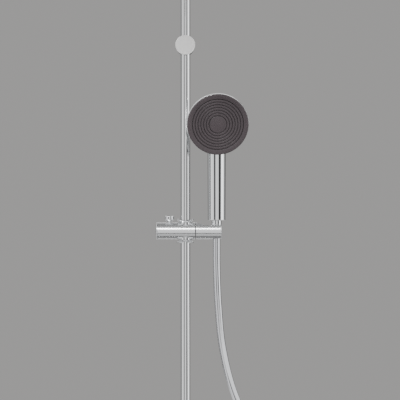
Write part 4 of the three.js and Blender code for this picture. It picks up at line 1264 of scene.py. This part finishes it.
def room_light(tree):
    """Studio surroundings: bands of light and dark that are seen only in reflections and as light."""
    tree.nodes.clear()
    place = node(tree, "ShaderNodeTexCoord", (-1400, 0))
    parts = node(tree, "ShaderNodeSeparateXYZ", (-1200, 0))
    back = node(tree, "ShaderNodeMath", (-1000, -100), {1: -1.0}, operation="MULTIPLY")
    angle = node(tree, "ShaderNodeMath", (-800, 0), operation="ARCTAN2")
    share = node(tree, "ShaderNodeMapRange", (-600, 0), {"From Min": -math.pi, "From Max": math.pi})
    bands = light_ramp(tree, (-400, 0), [((turn + 180) / 360, light) for turn, light in STUDIO_BANDS])
    rise = node(tree, "ShaderNodeMapRange", (-600, -500), {"From Min": -1.0})
    heights = light_ramp(tree, (-400, -500), [((up + 1) / 2, light) for up, light in STUDIO_HEIGHTS])
    slope = node(tree, "ShaderNodeMath", (-600, -300), operation="ABSOLUTE")
    steep = node(
        tree, "ShaderNodeMapRange", (-400, -300), {"From Min": 0.10, "From Max": 0.34},
        interpolation_type="SMOOTHSTEP",
    )
    both = node(tree, "ShaderNodeMix", (-100, 0), data_type="RGBA")
    lit = node(tree, "ShaderNodeBackground", (150, 0), {"Strength": 0.9})
    plain = node(
        tree, "ShaderNodeBackground", (150, -200), {"Color": (0.40, 0.395, 0.39, 1), "Strength": 0.9},
    )
    ray = node(tree, "ShaderNodeLightPath", (150, 300))
    either = node(tree, "ShaderNodeMixShader", (400, 0))
    out = node(tree, "ShaderNodeOutputWorld", (600, 0))
    wire(
        tree,
        (place, "Generated", parts, "Vector"), (parts, "Y", back, 0),
        (parts, "X", angle, 0), (back, "Value", angle, 1),
        (angle, "Value", share, "Value"), (share, "Result", bands, "Fac"),
        (parts, "Z", slope, 0), (slope, "Value", steep, "Value"),
        (parts, "Z", rise, "Value"), (rise, "Result", heights, "Fac"),
        (steep, "Result", both, "Factor"), (bands, "Color", both, "A"), (heights, "Color", both, "B"),
        (both, "Result", lit, "Color"), (ray, "Is Camera Ray", either, "Fac"),
        (lit, "Background", either, 1), (plain, "Background", either, 2),
        (either, "Shader", out, "Surface"),
    )


class SHOWER_OT_camera(bpy.types.Operator):
    """Camera at the viewing place"""

    bl_idname = "shower.camera"
    bl_label = "Camera"

    def execute(self, context):
        data = bpy.data.cameras.new("viewing_camera")
        data.sensor_width = 36
        data.lens = CAMERA_LENS
        data.clip_end = 30
        made = bpy.data.objects.new("viewing_camera", data)
        context.scene.collection.objects.link(made)
        made.location = CAMERA_PLACE
        made.rotation_euler = (math.pi / 2, 0, 0)
        context.scene.camera = made
        return {"FINISHED"}


class SHOWER_OT_stage(bpy.types.Operator):
    """Pale floor, soft lights and the surroundings that the plating mirrors"""

    bl_idname = "shower.stage"
    bl_label = "Stage"

    def execute(self, context):
        corners = [(x, y, FLOOR) for x, y in ((-6, -6), (6, -6), (6, 6), (-6, 6))]
        ground = stage_sheet("floor", corners, PALE)
        ground.visible_glossy = False
        soft_light("key_high", (-0.7, -2.9, 1.55), (0, -0.1, -0.35), 1.6, 0.5, 55)
        soft_light("wash_left", (-2.2, -1.2, 2.0), (0, 0.2, -0.4), 1.2, 1.2, 18)
        soft_light("wash_right", (2.2, -1.2, 2.0), (0, 0.2, -0.4), 1.2, 1.2, 12)
        world = bpy.data.worlds.new("room")
        world.use_nodes = True
        room_light(world.node_tree)
        context.scene.world = world
        return {"FINISHED"}


# ------------------------------------------------------------------ add-on


class SHOWER_PT_panel(bpy.types.Panel):
    """Builds the shower column's pieces"""

    bl_idname = "SHOWER_PT_panel"
    bl_label = "Shower column"
    bl_space_type = "VIEW_3D"
    bl_region_type = "UI"
    bl_category = "Shower column"

    def draw(self, context):
        layout = self.layout
        for settings in (context.scene.shower_sizes, context.scene.shower_colours):
            box = layout.box()
            for key in settings.__annotations__:
                box.prop(settings, key)
        for operator in OPERATORS:
            layout.operator(operator.bl_idname)


OPERATORS = (
    SHOWER_OT_camera,
    SHOWER_OT_hose,
    SHOWER_OT_bracket,
    SHOWER_OT_riser,
    SHOWER_OT_arm,
    SHOWER_OT_rain_head,
    SHOWER_OT_mixer,
    SHOWER_OT_slider,
    SHOWER_OT_holder,
    SHOWER_OT_hand_shower,
    SHOWER_OT_stage,
)
CLASSES = (ShowerSizes, ShowerColours, *OPERATORS, SHOWER_PT_panel)


def register():
    for cls in CLASSES:
        bpy.utils.register_class(cls)
    bpy.types.Scene.shower_sizes = bpy.props.PointerProperty(type=ShowerSizes)
    bpy.types.Scene.shower_colours = bpy.props.PointerProperty(type=ShowerColours)


def unregister():
    del bpy.types.Scene.shower_colours
    del bpy.types.Scene.shower_sizes
    for cls in reversed(CLASSES):
        bpy.utils.unregister_class(cls)


def main():
    register()
    for operator in OPERATORS:
        group, name = operator.bl_idname.split(".")
        getattr(getattr(bpy.ops, group), name)()


if __name__ == "__main__":
    main()
